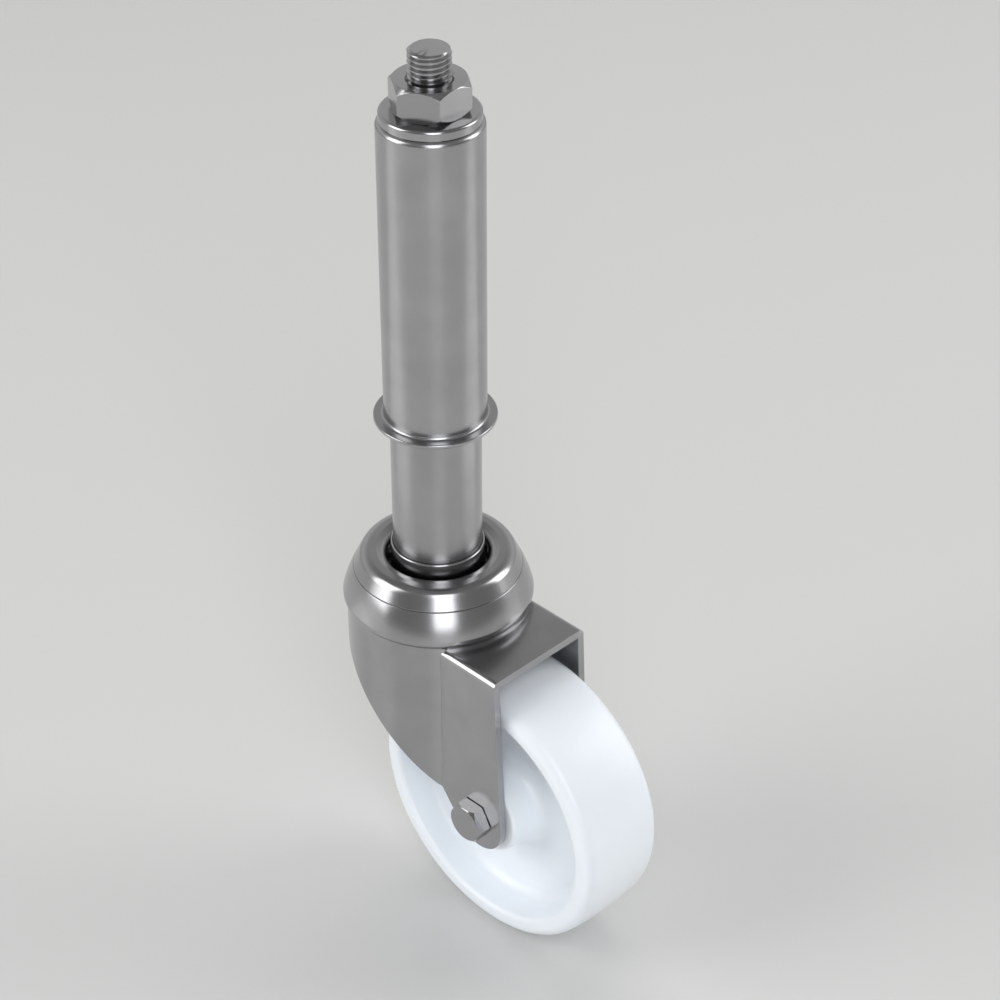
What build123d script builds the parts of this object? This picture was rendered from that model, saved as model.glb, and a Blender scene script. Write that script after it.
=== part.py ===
from build123d import *
import math
import os

# Spring castor in millimetres, with +Z up along the swivel axis.
# The origin lies on that axis at the top face of the sleeve's flange, where a leg tube seats.
# +X points from the swivel axis towards the wheel's axle, and the wheel turns about Y.

# Leg sleeve, a drawn tube with a closed top end and a flared flange at its mouth
sleeve_dia = 25.0
sleeve_wall = 1.3
sleeve_length = 77.8
sleeve_end_wall = 1.5
sleeve_shoulder_radius = 1.3
sleeve_mouth_chamfer = 0.6
flange_dia = 30.0
flange_thickness = 1.0
flange_edge_break = 0.3

# Threaded stud and its nuts
stud_dia = 10.0
stud_chamfer = 0.5
stud_projection = 7.05
stud_hole_clearance = 0.4
thread_gap = 0.02
hex_face_inset = 0.1
nut_countersink = 0.7
top_nut_across_flats = 17.0
top_nut_height = 7.6
top_nut_turn = 28.6
lock_nut_across_flats = 16.0
lock_nut_height = 5.0

# Cap washer between the sleeve's closed end and the top nut
cap_washer_dia = 23.55
cap_washer_thickness = 2.45
cap_washer_hole_clearance = 0.25
cap_washer_chamfer = 0.4

# Sliding column
tube_running_gap = 0.1
column_tube_wall = 1.5
column_reach = 37.5
tube_in_sleeve = 18.0

# Guide bush in the column's upper end, with the steel seat for the spring
bush_running_gap = 0.05
bush_flange_thickness = 2.5
bush_spigot_length = 8.0
bush_spigot_gap = 0.05
bush_stud_gap = 0.1
spring_seat_thickness = 1.5
spring_seat_stud_gap = 0.3
spring_seat_sleeve_gap = 0.25

# Coil spring with closed and ground ends, its round wire modelled with flat sides
wire_dia = 2.8
wire_sides = 6
spring_sleeve_gap = 0.6
spring_end_turns = 1
spring_active_turns = 7
spring_end_pitch_gap = 0.06
spring_points_per_turn = 12
spring_ground_share = 0.25

# Race block, the turned piece that closes the column and carries both rows of balls
collar_wall = 0.6
collar_chamfer = 0.3
socket_depth = 4.5
socket_gap = 0.02
race_disc_dia = 36.6
race_web = 2.0
race_hub_dia = 24.0
race_hub_clearance = 2.0
stud_end_recess = 0.6

# Ball rows, each ball modelled with flat faces
ball_dia = 4.76
ball_circle_dia = 32.4
ball_spacing = 0.3
race_gap = 0.05
groove_sides = 8
groove_depth = 0.8

# Race plate, the grooved ring on the fork's top
race_floor = 2.2
race_plate_hole_dia = 27.0
race_plate_cup_gap = 0.07

# Head cover, a pressed ring over the upper balls
cover_wall = 1.2
cover_hole_gap = 1.6
cover_lip_chamfer = 0.5
cover_lip_drop = 0.6
crest_drop = 2.6
crest_inner_dia = 31.0
crest_corner_dia = 37.86
crest_radius = 2.8
crest_inside_chamfer = 1.0
cone_angle = 26.0
cone_drop = 4.8
cover_skirt = 2.5
cover_skirt_gap = 0.05

# Swivel cup, the pressed ring between the cover and the fork
cup_wall = 1.2
cup_edge_overhang = 1.01
cup_edge_height = 3.1
cup_edge_chamfer = 0.3
cup_bulge = 0.2

# Fork, one pressed sheet with a round back, a flat top and two cheeks
sheet = 2.0
drum_dia = 46.14
fork_width = 31.5
fold_radius = 1.6
fork_front = 35.4
fork_front_lean = 0.05
fork_end_radius = 7.9
rear_cut_top_drop = 3.7
rear_cut_mid_x = 1.86
rear_cut_mid_drop = 26.6
rear_cut_low_x = 16.6
rear_cut_low_drop = 43.76
rear_edge_slope = 1.25

# Axle, a bolt through a spacer tube
axle_offset = 28.65
axle_drop = 102.1
axle_bolt_dia = 6.0
axle_bolt_length = 40.0
axle_bolt_chamfer = 0.6
axle_hole_clearance = 0.1
axle_head_across_flats = 9.8
axle_head_height = 3.8
axle_head_turn = 0.5
axle_washer_face = 0.25
axle_washer_face_dia = 9.2
axle_tube_dia = 8.0
axle_tube_bolt_gap = 0.05
axle_nut_across_flats = 10.0
axle_nut_hex_height = 4.4
axle_nut_collar_height = 1.6
axle_nut_collar_dia = 8.8
axle_nut_collar_wall = 0.7
axle_nut_lip = 0.4
axle_insert_height = 1.6

# Wheel, one moulding with a crowned tread, a thin web and a long hub
wheel_dia = 75.4
wheel_width = 25.1
wheel_bore_gap = 0.05
tread_crown = 0.8
tread_shoulder_radius = 2.6
rim_thickness = 5.4
rim_inner_chamfer = 0.8
rim_draft = 10.0
web_thickness = 7.0
web_corner_chamfer = 2.6
hub_length = 26.0
hub_dia = 22.6
hub_draft = 6.0
hub_edge_chamfer = 0.5

# Radii and half widths
sleeve_r = sleeve_dia / 2
sleeve_bore_r = sleeve_r - sleeve_wall
flange_r = flange_dia / 2
stud_r = stud_dia / 2
stud_hole_r = stud_r + stud_hole_clearance
thread_bore_r = stud_r + thread_gap
tube_r = sleeve_bore_r - tube_running_gap
tube_bore_r = tube_r - column_tube_wall
socket_r = tube_r + socket_gap
collar_r = tube_r + collar_wall
spring_r = sleeve_bore_r - spring_sleeve_gap - wire_dia / 2
ball_r = ball_dia / 2
ball_circle_r = ball_circle_dia / 2
groove_r = ball_r + race_gap
drum_r = drum_dia / 2
cheek_y = fork_width / 2
cheek_inner_y = cheek_y - sheet
axle_bolt_r = axle_bolt_dia / 2
axle_tube_r = axle_tube_dia / 2
wheel_r = wheel_dia / 2
wheel_bore_r = axle_tube_r + wheel_bore_gap

# Levels along the swivel axis, from the stud's top down to the fork and the axle
washer_top = sleeve_length + cap_washer_thickness
nut_top = washer_top + top_nut_height
stud_top = nut_top + stud_projection
sleeve_end_underside = sleeve_length - sleeve_end_wall
bush_top = tube_in_sleeve + bush_flange_thickness
seat_top = bush_top + spring_seat_thickness
collar_top = -column_reach
socket_floor = collar_top - socket_depth
crest_z = collar_top - crest_drop
seam_z = crest_z - cone_drop
upper_ball_z = crest_z - cover_wall - groove_r
disc_top = upper_ball_z - groove_r + groove_depth
lower_ball_z = upper_ball_z - 2 * groove_r - race_web
disc_bottom = lower_ball_z + groove_r - groove_depth
plate_top = lower_ball_z - groove_r + groove_depth
fork_top = lower_ball_z - groove_r - race_floor
race_hub_bottom = fork_top + race_hub_clearance
stud_bottom = race_hub_bottom + stud_end_recess
axle_z = -axle_drop

# Planes and the line that the axle's pieces are built on
axle_center = (axle_offset, 0, axle_z)
axle_line = Axis(axle_center, (0, 1, 0))
wheel_middle = Plane(axle_center, x_dir=(1, 0, 0), z_dir=(0, 1, 0))
near_cheek_face = Plane((axle_offset, -cheek_y, axle_z), x_dir=(1, 0, 0), z_dir=(0, -1, 0))
far_cheek_face = Plane((axle_offset, cheek_y, axle_z), x_dir=(1, 0, 0), z_dir=(0, 1, 0))

os.makedirs("parts", exist_ok=True)


def corner_at(x, y):
    """The corner of the current sketch that lies nearest a point."""
    return vertices().sort_by_distance((x, y))[0]


def cone_radius(z):
    """Outer radius of the head cover's cone at a height."""
    return crest_corner_dia / 2 + (crest_z - z) * math.tan(math.radians(cone_angle))


def across(wall):
    """A wall of the cone measured square to the swivel axis."""
    return wall / math.cos(math.radians(cone_angle))


def hexagon_blank(plane, across_flats, height, turn, both_ends):
    """Hexagon bar standing on a plane, its corners turned off at the far end or at both ends."""
    corner_r = across_flats / math.sqrt(3)
    face_r = across_flats / 2 - hex_face_inset
    drop = corner_r - face_r
    near_r = face_r if both_ends else corner_r
    near_drop = drop if both_ends else 0
    section_plane = Plane(plane.origin, x_dir=plane.x_dir, z_dir=-plane.y_dir)
    with BuildPart() as blank:
        with BuildSketch(plane):
            RegularPolygon(corner_r, side_count=6, rotation=turn)
        extrude(amount=height)
        with BuildSketch(section_plane):
            with BuildLine():
                Line((0, 0), (near_r, 0))
                if both_ends:
                    Line((near_r, 0), (corner_r, near_drop))
                Line((corner_r, near_drop), (corner_r, height - drop))
                Line((corner_r, height - drop), (face_r, height))
                Line((face_r, height), (0, height))
                Line((0, height), (0, 0))
            make_face()
        revolve(axis=Axis(plane.origin, plane.z_dir), mode=Mode.INTERSECT)
    return blank.part


def faceted_ball():
    """Ball about the origin: a cube with every edge and corner cut back to the true sphere."""
    silver_ratio = 1 + math.sqrt(2)
    face_half = ball_r / math.sqrt(2 + silver_ratio**2)
    cube_half = face_half * silver_ratio
    with BuildPart() as ball:
        Box(2 * cube_half, 2 * cube_half, 2 * cube_half)
        chamfer(edges(), cube_half - face_half)
    return ball.part


def ball_groove(row_z):
    """Section of the space that a row of balls runs in, flat on each of its sides."""
    with Locations((ball_circle_r, row_z)):
        RegularPolygon(groove_r, groove_sides, major_radius=False, rotation=180 / groove_sides, mode=Mode.SUBTRACT)


# Leg sleeve: the tube, its closed end and its flange as one revolved section
with BuildPart() as outer_sleeve:
    with BuildSketch(Plane.XZ):
        Polygon(
            (stud_hole_r, sleeve_length),
            (sleeve_r, sleeve_length),
            (sleeve_r, 0),
            (flange_r, 0),
            (flange_r, -flange_thickness),
            (sleeve_bore_r, -flange_thickness),
            (sleeve_bore_r, sleeve_end_underside),
            (stud_hole_r, sleeve_end_underside),
            align=None,
        )
        fillet(corner_at(sleeve_r, sleeve_length), sleeve_shoulder_radius)
        chamfer(corner_at(flange_r, 0), flange_edge_break)
        chamfer(corner_at(flange_r, -flange_thickness), flange_edge_break)
        chamfer(corner_at(sleeve_bore_r, -flange_thickness), sleeve_mouth_chamfer)
    revolve(axis=Axis.Z)
outer_sleeve.part.label = "outer_sleeve"
export_step(outer_sleeve.part, "parts/outer_sleeve.step")

# Cap washer: a thick disc with its top edge broken
with BuildPart() as cap_washer:
    with BuildSketch(Plane.XY.offset(sleeve_length)):
        Circle(cap_washer_dia / 2)
        Circle(stud_r + cap_washer_hole_clearance, mode=Mode.SUBTRACT)
    extrude(amount=cap_washer_thickness)
    top_edge = edges().group_by(Axis.Z)[-1].sort_by(SortBy.RADIUS)[-1]
    chamfer(top_edge, cap_washer_chamfer)
cap_washer.part.label = "cap_washer"
export_step(cap_washer.part, "parts/cap_washer.step")

# Top nut: a hexagon with a countersink at each end of its bore
top_nut_blank = hexagon_blank(
    Plane.XY.offset(washer_top), top_nut_across_flats, top_nut_height, top_nut_turn, both_ends=True
)
with BuildPart() as top_nut:
    add(top_nut_blank)
    with BuildSketch(Plane.XY.offset(washer_top)):
        Circle(thread_bore_r)
    extrude(amount=top_nut_height, mode=Mode.SUBTRACT)
    bore_edges = edges().filter_by(GeomType.CIRCLE).sort_by(SortBy.RADIUS)[0:2]
    chamfer(bore_edges, nut_countersink)
top_nut.part.label = "top_nut"
export_step(top_nut.part, "parts/top_nut.step")

# Stud: one rod from the race block up through the column, the spring and the sleeve's end
with BuildPart() as stud:
    with BuildSketch(Plane.XY.offset(stud_bottom)):
        Circle(stud_r)
    extrude(amount=stud_top - stud_bottom)
    chamfer(edges().filter_by(GeomType.CIRCLE), stud_chamfer)
stud.part.label = "stud"
export_step(stud.part, "parts/stud.step")

# Coil spring: a wire swept round its turns, with its ends ground flat
spring_low = seat_top + wire_dia * spring_ground_share
spring_high = sleeve_end_underside - wire_dia * spring_ground_share
end_pitch = wire_dia + spring_end_pitch_gap
active_height = spring_high - spring_low - 2 * spring_end_turns * end_pitch
active_pitch = active_height / spring_active_turns
total_turns = 2 * spring_end_turns + spring_active_turns


def spring_height(turn):
    """Height of the wire's centre after a number of turns."""
    low_part = min(turn, spring_end_turns) * end_pitch
    middle_part = min(max(turn - spring_end_turns, 0), spring_active_turns) * active_pitch
    high_part = max(turn - spring_end_turns - spring_active_turns, 0) * end_pitch
    return spring_low + low_part + middle_part + high_part


spring_points = []
for step in range(total_turns * spring_points_per_turn + 1):
    turn = step / spring_points_per_turn
    angle = math.tau * turn
    spring_points.append((spring_r * math.cos(angle), spring_r * math.sin(angle), spring_height(turn)))

with BuildPart() as coil_spring:
    with BuildLine() as wire_path:
        Polyline(*spring_points)
    with BuildSketch(Plane(wire_path.line @ 0, z_dir=wire_path.line % 0)):
        RegularPolygon(wire_dia / 2, side_count=wire_sides)
    sweep(transition=Transition.RIGHT)
    split(bisect_by=Plane.XY.offset(seat_top), keep=Keep.TOP)
    split(bisect_by=Plane.XY.offset(sleeve_end_underside), keep=Keep.BOTTOM)
coil_spring.part.label = "coil_spring"
export_step(coil_spring.part, "parts/coil_spring.step")

# Spring seat: a steel ring on the guide bush
with BuildPart() as spring_seat:
    with BuildSketch(Plane.XY.offset(bush_top)):
        Circle(sleeve_bore_r - spring_seat_sleeve_gap)
        Circle(stud_r + spring_seat_stud_gap, mode=Mode.SUBTRACT)
    extrude(amount=spring_seat_thickness)
spring_seat.part.label = "spring_seat"
export_step(spring_seat.part, "parts/spring_seat.step")

# Guide bush: a flange that slides in the sleeve and a spigot that fills the tube's top
with BuildPart() as guide_bush:
    with BuildSketch(Plane.XY.offset(tube_in_sleeve)):
        Circle(sleeve_bore_r - bush_running_gap)
    extrude(amount=bush_flange_thickness)
    with BuildSketch(Plane.XY.offset(tube_in_sleeve)):
        Circle(tube_bore_r - bush_spigot_gap)
    extrude(amount=-bush_spigot_length)
    with BuildSketch(Plane.XY.offset(bush_top)):
        Circle(stud_r + bush_stud_gap)
    extrude(amount=-bush_flange_thickness - bush_spigot_length, mode=Mode.SUBTRACT)
guide_bush.part.label = "guide_bush"
export_step(guide_bush.part, "parts/guide_bush.step")

# Inner tube: the sliding column from the race block's socket to the guide bush
with BuildPart() as inner_tube:
    with BuildSketch(Plane.XY.offset(socket_floor)):
        Circle(tube_r)
        Circle(tube_bore_r, mode=Mode.SUBTRACT)
    extrude(amount=tube_in_sleeve - socket_floor)
inner_tube.part.label = "inner_tube"
export_step(inner_tube.part, "parts/inner_tube.step")

# Stud lock nut: a thin nut inside the tube, tight on the race block
lock_nut_blank = hexagon_blank(
    Plane.XY.offset(socket_floor), lock_nut_across_flats, lock_nut_height, turn=0, both_ends=False
)
with BuildPart() as stud_lock_nut:
    add(lock_nut_blank)
    with BuildSketch(Plane.XY.offset(socket_floor)):
        Circle(thread_bore_r)
    extrude(amount=lock_nut_height, mode=Mode.SUBTRACT)
stud_lock_nut.part.label = "stud_lock_nut"
export_step(stud_lock_nut.part, "parts/stud_lock_nut.step")

# Race block: collar, grooved disc and hub turned from one bar
with BuildPart() as race_block:
    with BuildSketch(Plane.XZ):
        Polygon(
            (socket_r, collar_top),
            (collar_r, collar_top),
            (collar_r, disc_top),
            (race_disc_dia / 2, disc_top),
            (race_disc_dia / 2, disc_bottom),
            (race_hub_dia / 2, disc_bottom),
            (race_hub_dia / 2, race_hub_bottom),
            (thread_bore_r, race_hub_bottom),
            (thread_bore_r, socket_floor),
            (socket_r, socket_floor),
            align=None,
        )
        chamfer(corner_at(collar_r, collar_top), collar_chamfer)
        ball_groove(upper_ball_z)
        ball_groove(lower_ball_z)
    revolve(axis=Axis.Z)
race_block.part.label = "race_block"
export_step(race_block.part, "parts/race_block.step")

# Ball rows: loose balls side by side round the ball circle, above and below the disc
ball = faceted_ball()
ball_count = int(math.pi * ball_circle_dia / (ball_dia + ball_spacing))
for row_name, row_z in (("upper_balls", upper_ball_z), ("lower_balls", lower_ball_z)):
    with BuildPart() as ball_row:
        with Locations((0, 0, row_z)):
            with PolarLocations(ball_circle_r, ball_count):
                add(ball)
    ball_row.part.label = row_name
    export_step(ball_row.part, f"parts/{row_name}.step")

# Head cover: a pressed section with a rolled lip, a crest, a cone and a skirt inside the cup
cover_hole_r = collar_r + cover_hole_gap
crest_inner_r = crest_inner_dia / 2
crest_corner_r = crest_corner_dia / 2
lip_z = crest_z - cover_lip_drop
step_z = seam_z + cover_wall
cup_mouth_r = cone_radius(seam_z) - across(cup_wall)
skirt_r = cup_mouth_r - cover_skirt_gap
skirt_bore_r = skirt_r - cover_wall
crest_inside_z = crest_z - cover_wall
crest_inside_r = cone_radius(crest_inside_z) - across(cover_wall)
with BuildPart() as head_cover:
    with BuildSketch(Plane.XZ):
        Polygon(
            (cover_hole_r, lip_z - cover_wall),
            (cover_hole_r, lip_z),
            (crest_inner_r, crest_z),
            (crest_corner_r, crest_z),
            (cone_radius(seam_z), seam_z),
            (skirt_r, seam_z),
            (skirt_r, seam_z - cover_skirt),
            (skirt_bore_r, seam_z - cover_skirt),
            (skirt_bore_r, step_z),
            (cone_radius(step_z) - across(cover_wall), step_z),
            (crest_inside_r, crest_inside_z),
            (crest_inner_r, crest_inside_z),
            align=None,
        )
        chamfer(corner_at(cover_hole_r, lip_z), cover_lip_chamfer)
        fillet(corner_at(crest_corner_r, crest_z), crest_radius)
        chamfer(corner_at(crest_inside_r, crest_inside_z), crest_inside_chamfer)
    revolve(axis=Axis.Z)
head_cover.part.label = "head_cover"
export_step(head_cover.part, "parts/head_cover.step")

# Swivel cup: a bulged wall from the seam out to a tight edge and in again to the fork
cup_rim_r = cone_radius(seam_z)
cup_edge_r = drum_r + cup_edge_overhang
cup_edge_z = fork_top + cup_edge_height


def cup_section_points(inset):
    """Top, middle of the bulge, edge and foot of the cup's wall line, moved in towards the axis."""
    top = Vector(cup_rim_r - inset, seam_z)
    edge = Vector(cup_edge_r - inset, cup_edge_z)
    foot = Vector(drum_r - inset, fork_top)
    chord = edge - top
    bulge = (top + edge) * 0.5 + Vector(-chord.Y, chord.X).normalized() * cup_bulge
    return top, bulge, edge, foot


outer_top, outer_bulge, outer_edge, outer_foot = cup_section_points(0)
inner_top, inner_bulge, inner_edge, inner_foot = cup_section_points(across(cup_wall))
with BuildPart() as swivel_cup:
    with BuildSketch(Plane.XZ):
        with BuildLine():
            ThreePointArc(outer_top, outer_bulge, outer_edge)
            Line(outer_edge, outer_foot)
            Line(outer_foot, inner_foot)
            Line(inner_foot, inner_edge)
            ThreePointArc(inner_edge, inner_bulge, inner_top)
            Line(inner_top, outer_top)
        make_face()
        chamfer(corner_at(outer_edge.X, outer_edge.Y), cup_edge_chamfer)
    revolve(axis=Axis.Z)
swivel_cup.part.label = "swivel_cup"
export_step(swivel_cup.part, "parts/swivel_cup.step")

# Race plate: a grooved ring on the fork's top, located by the cup
race_plate_hole_r = race_plate_hole_dia / 2
race_plate_r = inner_foot.X - race_plate_cup_gap
with BuildPart() as race_plate:
    with BuildSketch(Plane.XZ):
        Polygon(
            (race_plate_hole_r, fork_top),
            (race_plate_r, fork_top),
            (race_plate_r, plate_top),
            (race_plate_hole_r, plate_top),
            align=None,
        )
        ball_groove(lower_ball_z)
    revolve(axis=Axis.Z)
race_plate.part.label = "race_plate"
export_step(race_plate.part, "parts/race_plate.step")

# Fork: the plan outline drawn down all round, open in front, and cut to its side outline.
# The rear edge's straight run and the leaning front edge meet in a corner, rounded by the end radius.
corner_drop = (fork_front - rear_cut_low_x + rear_cut_low_drop / rear_edge_slope) / (
    1 / rear_edge_slope - fork_front_lean
)
corner_x = fork_front + fork_front_lean * corner_drop
corner_z = fork_top - corner_drop
rear_x = -drum_r - sheet
rear_top = (rear_x, fork_top - rear_cut_top_drop)
rear_middle = (rear_cut_mid_x, fork_top - rear_cut_mid_drop)
rear_low = (rear_cut_low_x, fork_top - rear_cut_low_drop)
with BuildPart() as fork:
    with BuildSketch(Plane.XY.offset(fork_top)):
        Circle(drum_r)
        with Locations((corner_x / 2, 0)):
            Rectangle(corner_x, fork_width)
    extrude(amount=-corner_drop)
    folds = edges().group_by(Axis.Z)[-1].filter_by(Axis.X)
    fillet(folds, fold_radius)
    with BuildSketch(Plane.XY.offset(fork_top - sheet)):
        Circle(drum_r - sheet)
        with Locations((corner_x / 2, 0)):
            Rectangle(corner_x + sheet, fork_width - 2 * sheet)
    extrude(amount=-corner_drop, mode=Mode.SUBTRACT)
    with BuildSketch(Plane.XZ):
        with BuildLine():
            Polyline(rear_top, (rear_x, fork_top), (fork_front, fork_top), (corner_x, corner_z), rear_low)
            ThreePointArc(rear_low, rear_middle, rear_top)
        make_face()
        fillet(corner_at(corner_x, corner_z), fork_end_radius)
    extrude(amount=drum_r + sheet, both=True, mode=Mode.INTERSECT)
    with BuildSketch(near_cheek_face):
        Circle(axle_bolt_r + axle_hole_clearance)
    extrude(amount=-fork_width, mode=Mode.SUBTRACT)
fork.part.label = "fork"
export_step(fork.part, "parts/fork.step")

# Axle tube: the spacer that the cheeks clamp and the wheel turns on
with BuildPart() as axle_tube:
    with BuildSketch(wheel_middle):
        Circle(axle_tube_r)
        Circle(axle_bolt_r + axle_tube_bolt_gap, mode=Mode.SUBTRACT)
    extrude(amount=cheek_inner_y, both=True)
axle_tube.part.label = "axle_tube"
export_step(axle_tube.part, "parts/axle_tube.step")

# Axle bolt: a hexagon head on a thin washer face, and a shank through both cheeks
axle_head_blank = hexagon_blank(
    near_cheek_face.offset(axle_washer_face),
    axle_head_across_flats,
    axle_head_height - axle_washer_face,
    axle_head_turn,
    both_ends=False,
)
with BuildPart() as axle_bolt:
    add(axle_head_blank)
    with BuildSketch(near_cheek_face):
        Circle(axle_washer_face_dia / 2)
    extrude(amount=axle_washer_face)
    with BuildSketch(near_cheek_face):
        Circle(axle_bolt_r)
    extrude(amount=-axle_bolt_length)
    chamfer(edges().group_by(Axis.Y)[-1], axle_bolt_chamfer)
axle_bolt.part.label = "axle_bolt"
export_step(axle_bolt.part, "parts/axle_bolt.step")

# Axle nut: a hexagon with a round collar that holds a nylon ring
axle_nut_height = axle_nut_hex_height + axle_nut_collar_height
insert_r = axle_nut_collar_dia / 2 - axle_nut_collar_wall
insert_foot = axle_nut_height - axle_nut_lip - axle_insert_height
axle_nut_blank = hexagon_blank(
    far_cheek_face, axle_nut_across_flats, axle_nut_hex_height, turn=0, both_ends=False
)
with BuildPart() as axle_nut:
    add(axle_nut_blank)
    with BuildSketch(far_cheek_face):
        Circle(axle_nut_collar_dia / 2)
    extrude(amount=axle_nut_height)
    with BuildSketch(far_cheek_face):
        Circle(axle_bolt_r + thread_gap)
    extrude(amount=axle_nut_height, mode=Mode.SUBTRACT)
    with BuildSketch(far_cheek_face.offset(insert_foot)):
        Circle(insert_r)
    extrude(amount=axle_insert_height, mode=Mode.SUBTRACT)
axle_nut.part.label = "axle_nut"
export_step(axle_nut.part, "parts/axle_nut.step")

# Nylon ring: fills the groove in the nut's collar and grips the bolt
with BuildPart() as axle_nut_insert:
    with BuildSketch(far_cheek_face.offset(insert_foot)):
        Circle(insert_r)
        Circle(axle_bolt_r + thread_gap, mode=Mode.SUBTRACT)
    extrude(amount=axle_insert_height)
axle_nut_insert.part.label = "axle_nut_insert"
export_step(axle_nut_insert.part, "parts/axle_nut_insert.step")

# Wheel: half a section, from the bore out over the hub, the web and the rim, mirrored and revolved
half_width = wheel_width / 2
half_web = web_thickness / 2
half_hub = hub_length / 2
hub_r = hub_dia / 2
hub_root_r = hub_r + (half_hub - half_web) * math.tan(math.radians(hub_draft))
tread_edge_r = wheel_r - tread_crown
rim_mouth_r = tread_edge_r - rim_thickness
rim_root_r = rim_mouth_r - (half_width - half_web) * math.tan(math.radians(rim_draft))
with BuildPart() as wheel:
    with BuildSketch(Plane(axle_center)):
        with BuildLine():
            Polyline(
                (wheel_r, 0),
                (wheel_bore_r, 0),
                (wheel_bore_r, half_hub),
                (hub_r, half_hub),
                (hub_root_r, half_web),
                (rim_root_r, half_web),
                (rim_mouth_r, half_width),
                (tread_edge_r, half_width),
            )
            ThreePointArc((tread_edge_r, half_width), (wheel_r - tread_crown / 4, half_width / 2), (wheel_r, 0))
        make_face()
        chamfer(corner_at(hub_r, half_hub), hub_edge_chamfer)
        chamfer(corner_at(hub_root_r, half_web), web_corner_chamfer)
        chamfer(corner_at(rim_root_r, half_web), web_corner_chamfer)
        chamfer(corner_at(rim_mouth_r, half_width), rim_inner_chamfer)
        fillet(corner_at(tread_edge_r, half_width), tread_shoulder_radius)
        mirror(about=Plane.XZ)
    revolve(axis=axle_line)
wheel.part.label = "wheel"
export_step(wheel.part, "parts/wheel.step")
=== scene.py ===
"""A sprung swivel castor: turned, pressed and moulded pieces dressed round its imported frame."""

import math

import bmesh
import bpy
from mathutils import Euler, Matrix, Vector


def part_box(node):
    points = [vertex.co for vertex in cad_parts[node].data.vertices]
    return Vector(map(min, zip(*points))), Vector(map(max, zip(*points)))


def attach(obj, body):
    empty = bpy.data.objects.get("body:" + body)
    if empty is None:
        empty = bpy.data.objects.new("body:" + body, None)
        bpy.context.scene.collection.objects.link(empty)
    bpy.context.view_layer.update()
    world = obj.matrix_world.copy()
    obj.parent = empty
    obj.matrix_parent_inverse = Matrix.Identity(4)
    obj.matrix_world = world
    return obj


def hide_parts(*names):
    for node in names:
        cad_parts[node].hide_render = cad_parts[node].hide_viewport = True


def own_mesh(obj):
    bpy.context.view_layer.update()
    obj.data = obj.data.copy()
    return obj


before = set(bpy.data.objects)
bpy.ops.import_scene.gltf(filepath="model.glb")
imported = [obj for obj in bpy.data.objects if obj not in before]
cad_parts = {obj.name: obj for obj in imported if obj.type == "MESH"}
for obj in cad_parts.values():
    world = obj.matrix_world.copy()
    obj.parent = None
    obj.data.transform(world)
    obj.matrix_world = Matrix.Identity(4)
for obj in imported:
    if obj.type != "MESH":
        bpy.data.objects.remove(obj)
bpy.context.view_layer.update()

bl_info = {
    "name": "Spring castor",
    "version": (1, 0, 0),
    "blender": (4, 5, 0),
    "location": "3D View > Sidebar > Castor",
    "description": "Builds the finished pieces of a sprung swivel castor round its frame",
    "category": "Add Mesh",
}

MM = 0.001
TURN = 2 * math.pi
QUARTER = math.pi / 2
# An edge that turns by more than this is sharp, or is rounded where the piece has its edges rounded
SMOOTH_ANGLE = math.radians(28)
BEVEL_ANGLE = math.radians(32)
# Fineness: sides of round pieces, and steps of arcs, curves and folds
ROUND_SIDES = 160
SMALL_SIDES = 96
WHEEL_SIDES = 192
STUD_SIDES = 64
BOLT_SIDES = 48
WIRE_SIDES = 16
BALL_LEVEL = 4
ARC_STEP = math.radians(11)
EDGE_STEPS = 3
GROOVE_STEPS = 14
CUP_WALL_STEPS = 10
CUP_FOOT_STEPS = 14
DRUM_STEPS = 128
FOLD_STEPS = 8
HOLE_STEPS = 24
SPRING_POINTS = 48
# A thread: its rows in one pitch, its depth, half crest and flank as shares of the pitch, and its lead
THREAD_ROWS = 16
THREAD_DEPTH = 0.6
HALF_CREST = 0.0625
FLANK = 0.3125
THREAD_LEAD = 0.5 * MM
# Gap between a thread or a pressed tube and its bore
CLEARANCE = 0.02 * MM
# How far the cheeks' rear edge drops, and their front edge moves out, for each unit of the other
REAR_SLOPE = 1.25
FRONT_LEAN = 0.05

# Levels along the swivel axis and the axle's place, all taken from the frame
sleeve_low, sleeve_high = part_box("outer_sleeve")
washer_low, washer_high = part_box("cap_washer")
nut_low, nut_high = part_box("top_nut")
stud_low, stud_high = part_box("stud")
spring_low, spring_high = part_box("coil_spring")
seat_low, seat_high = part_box("spring_seat")
bush_low, bush_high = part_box("guide_bush")
tube_low, tube_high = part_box("inner_tube")
lock_low, lock_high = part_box("stud_lock_nut")
block_low, block_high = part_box("race_block")
cover_low, cover_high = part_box("head_cover")
cup_low, cup_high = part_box("swivel_cup")
plate_low, plate_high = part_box("race_plate")
fork_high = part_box("fork")[1]
wheel_low, wheel_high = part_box("wheel")
axle_tube_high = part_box("axle_tube")[1]
upper_ball_z = sum(corner.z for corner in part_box("upper_balls")) / 2
lower_ball_z = sum(corner.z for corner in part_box("lower_balls")) / 2
wheel_centre = (wheel_low + wheel_high) / 2


def linear(code):
    """An sRGB hex colour as the linear RGBA that the shaders take."""
    parts = [int(code[i : i + 2], 16) / 255 for i in (1, 3, 5)]
    return tuple(c / 12.92 if c <= 0.04045 else ((c + 0.055) / 1.055) ** 2.4 for c in parts) + (1.0,)


def length(name, default, description):
    """A length property in metres, from a default in millimetres."""
    settings = {"unit": "LENGTH", "subtype": "DISTANCE", "precision": 5}
    return bpy.props.FloatProperty(name=name, description=description, default=default * MM, **settings)


def degrees(name, default, description):
    """An angle property, from a default in degrees."""
    return bpy.props.FloatProperty(
        name=name, description=description, default=math.radians(default), subtype="ANGLE"
    )


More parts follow.
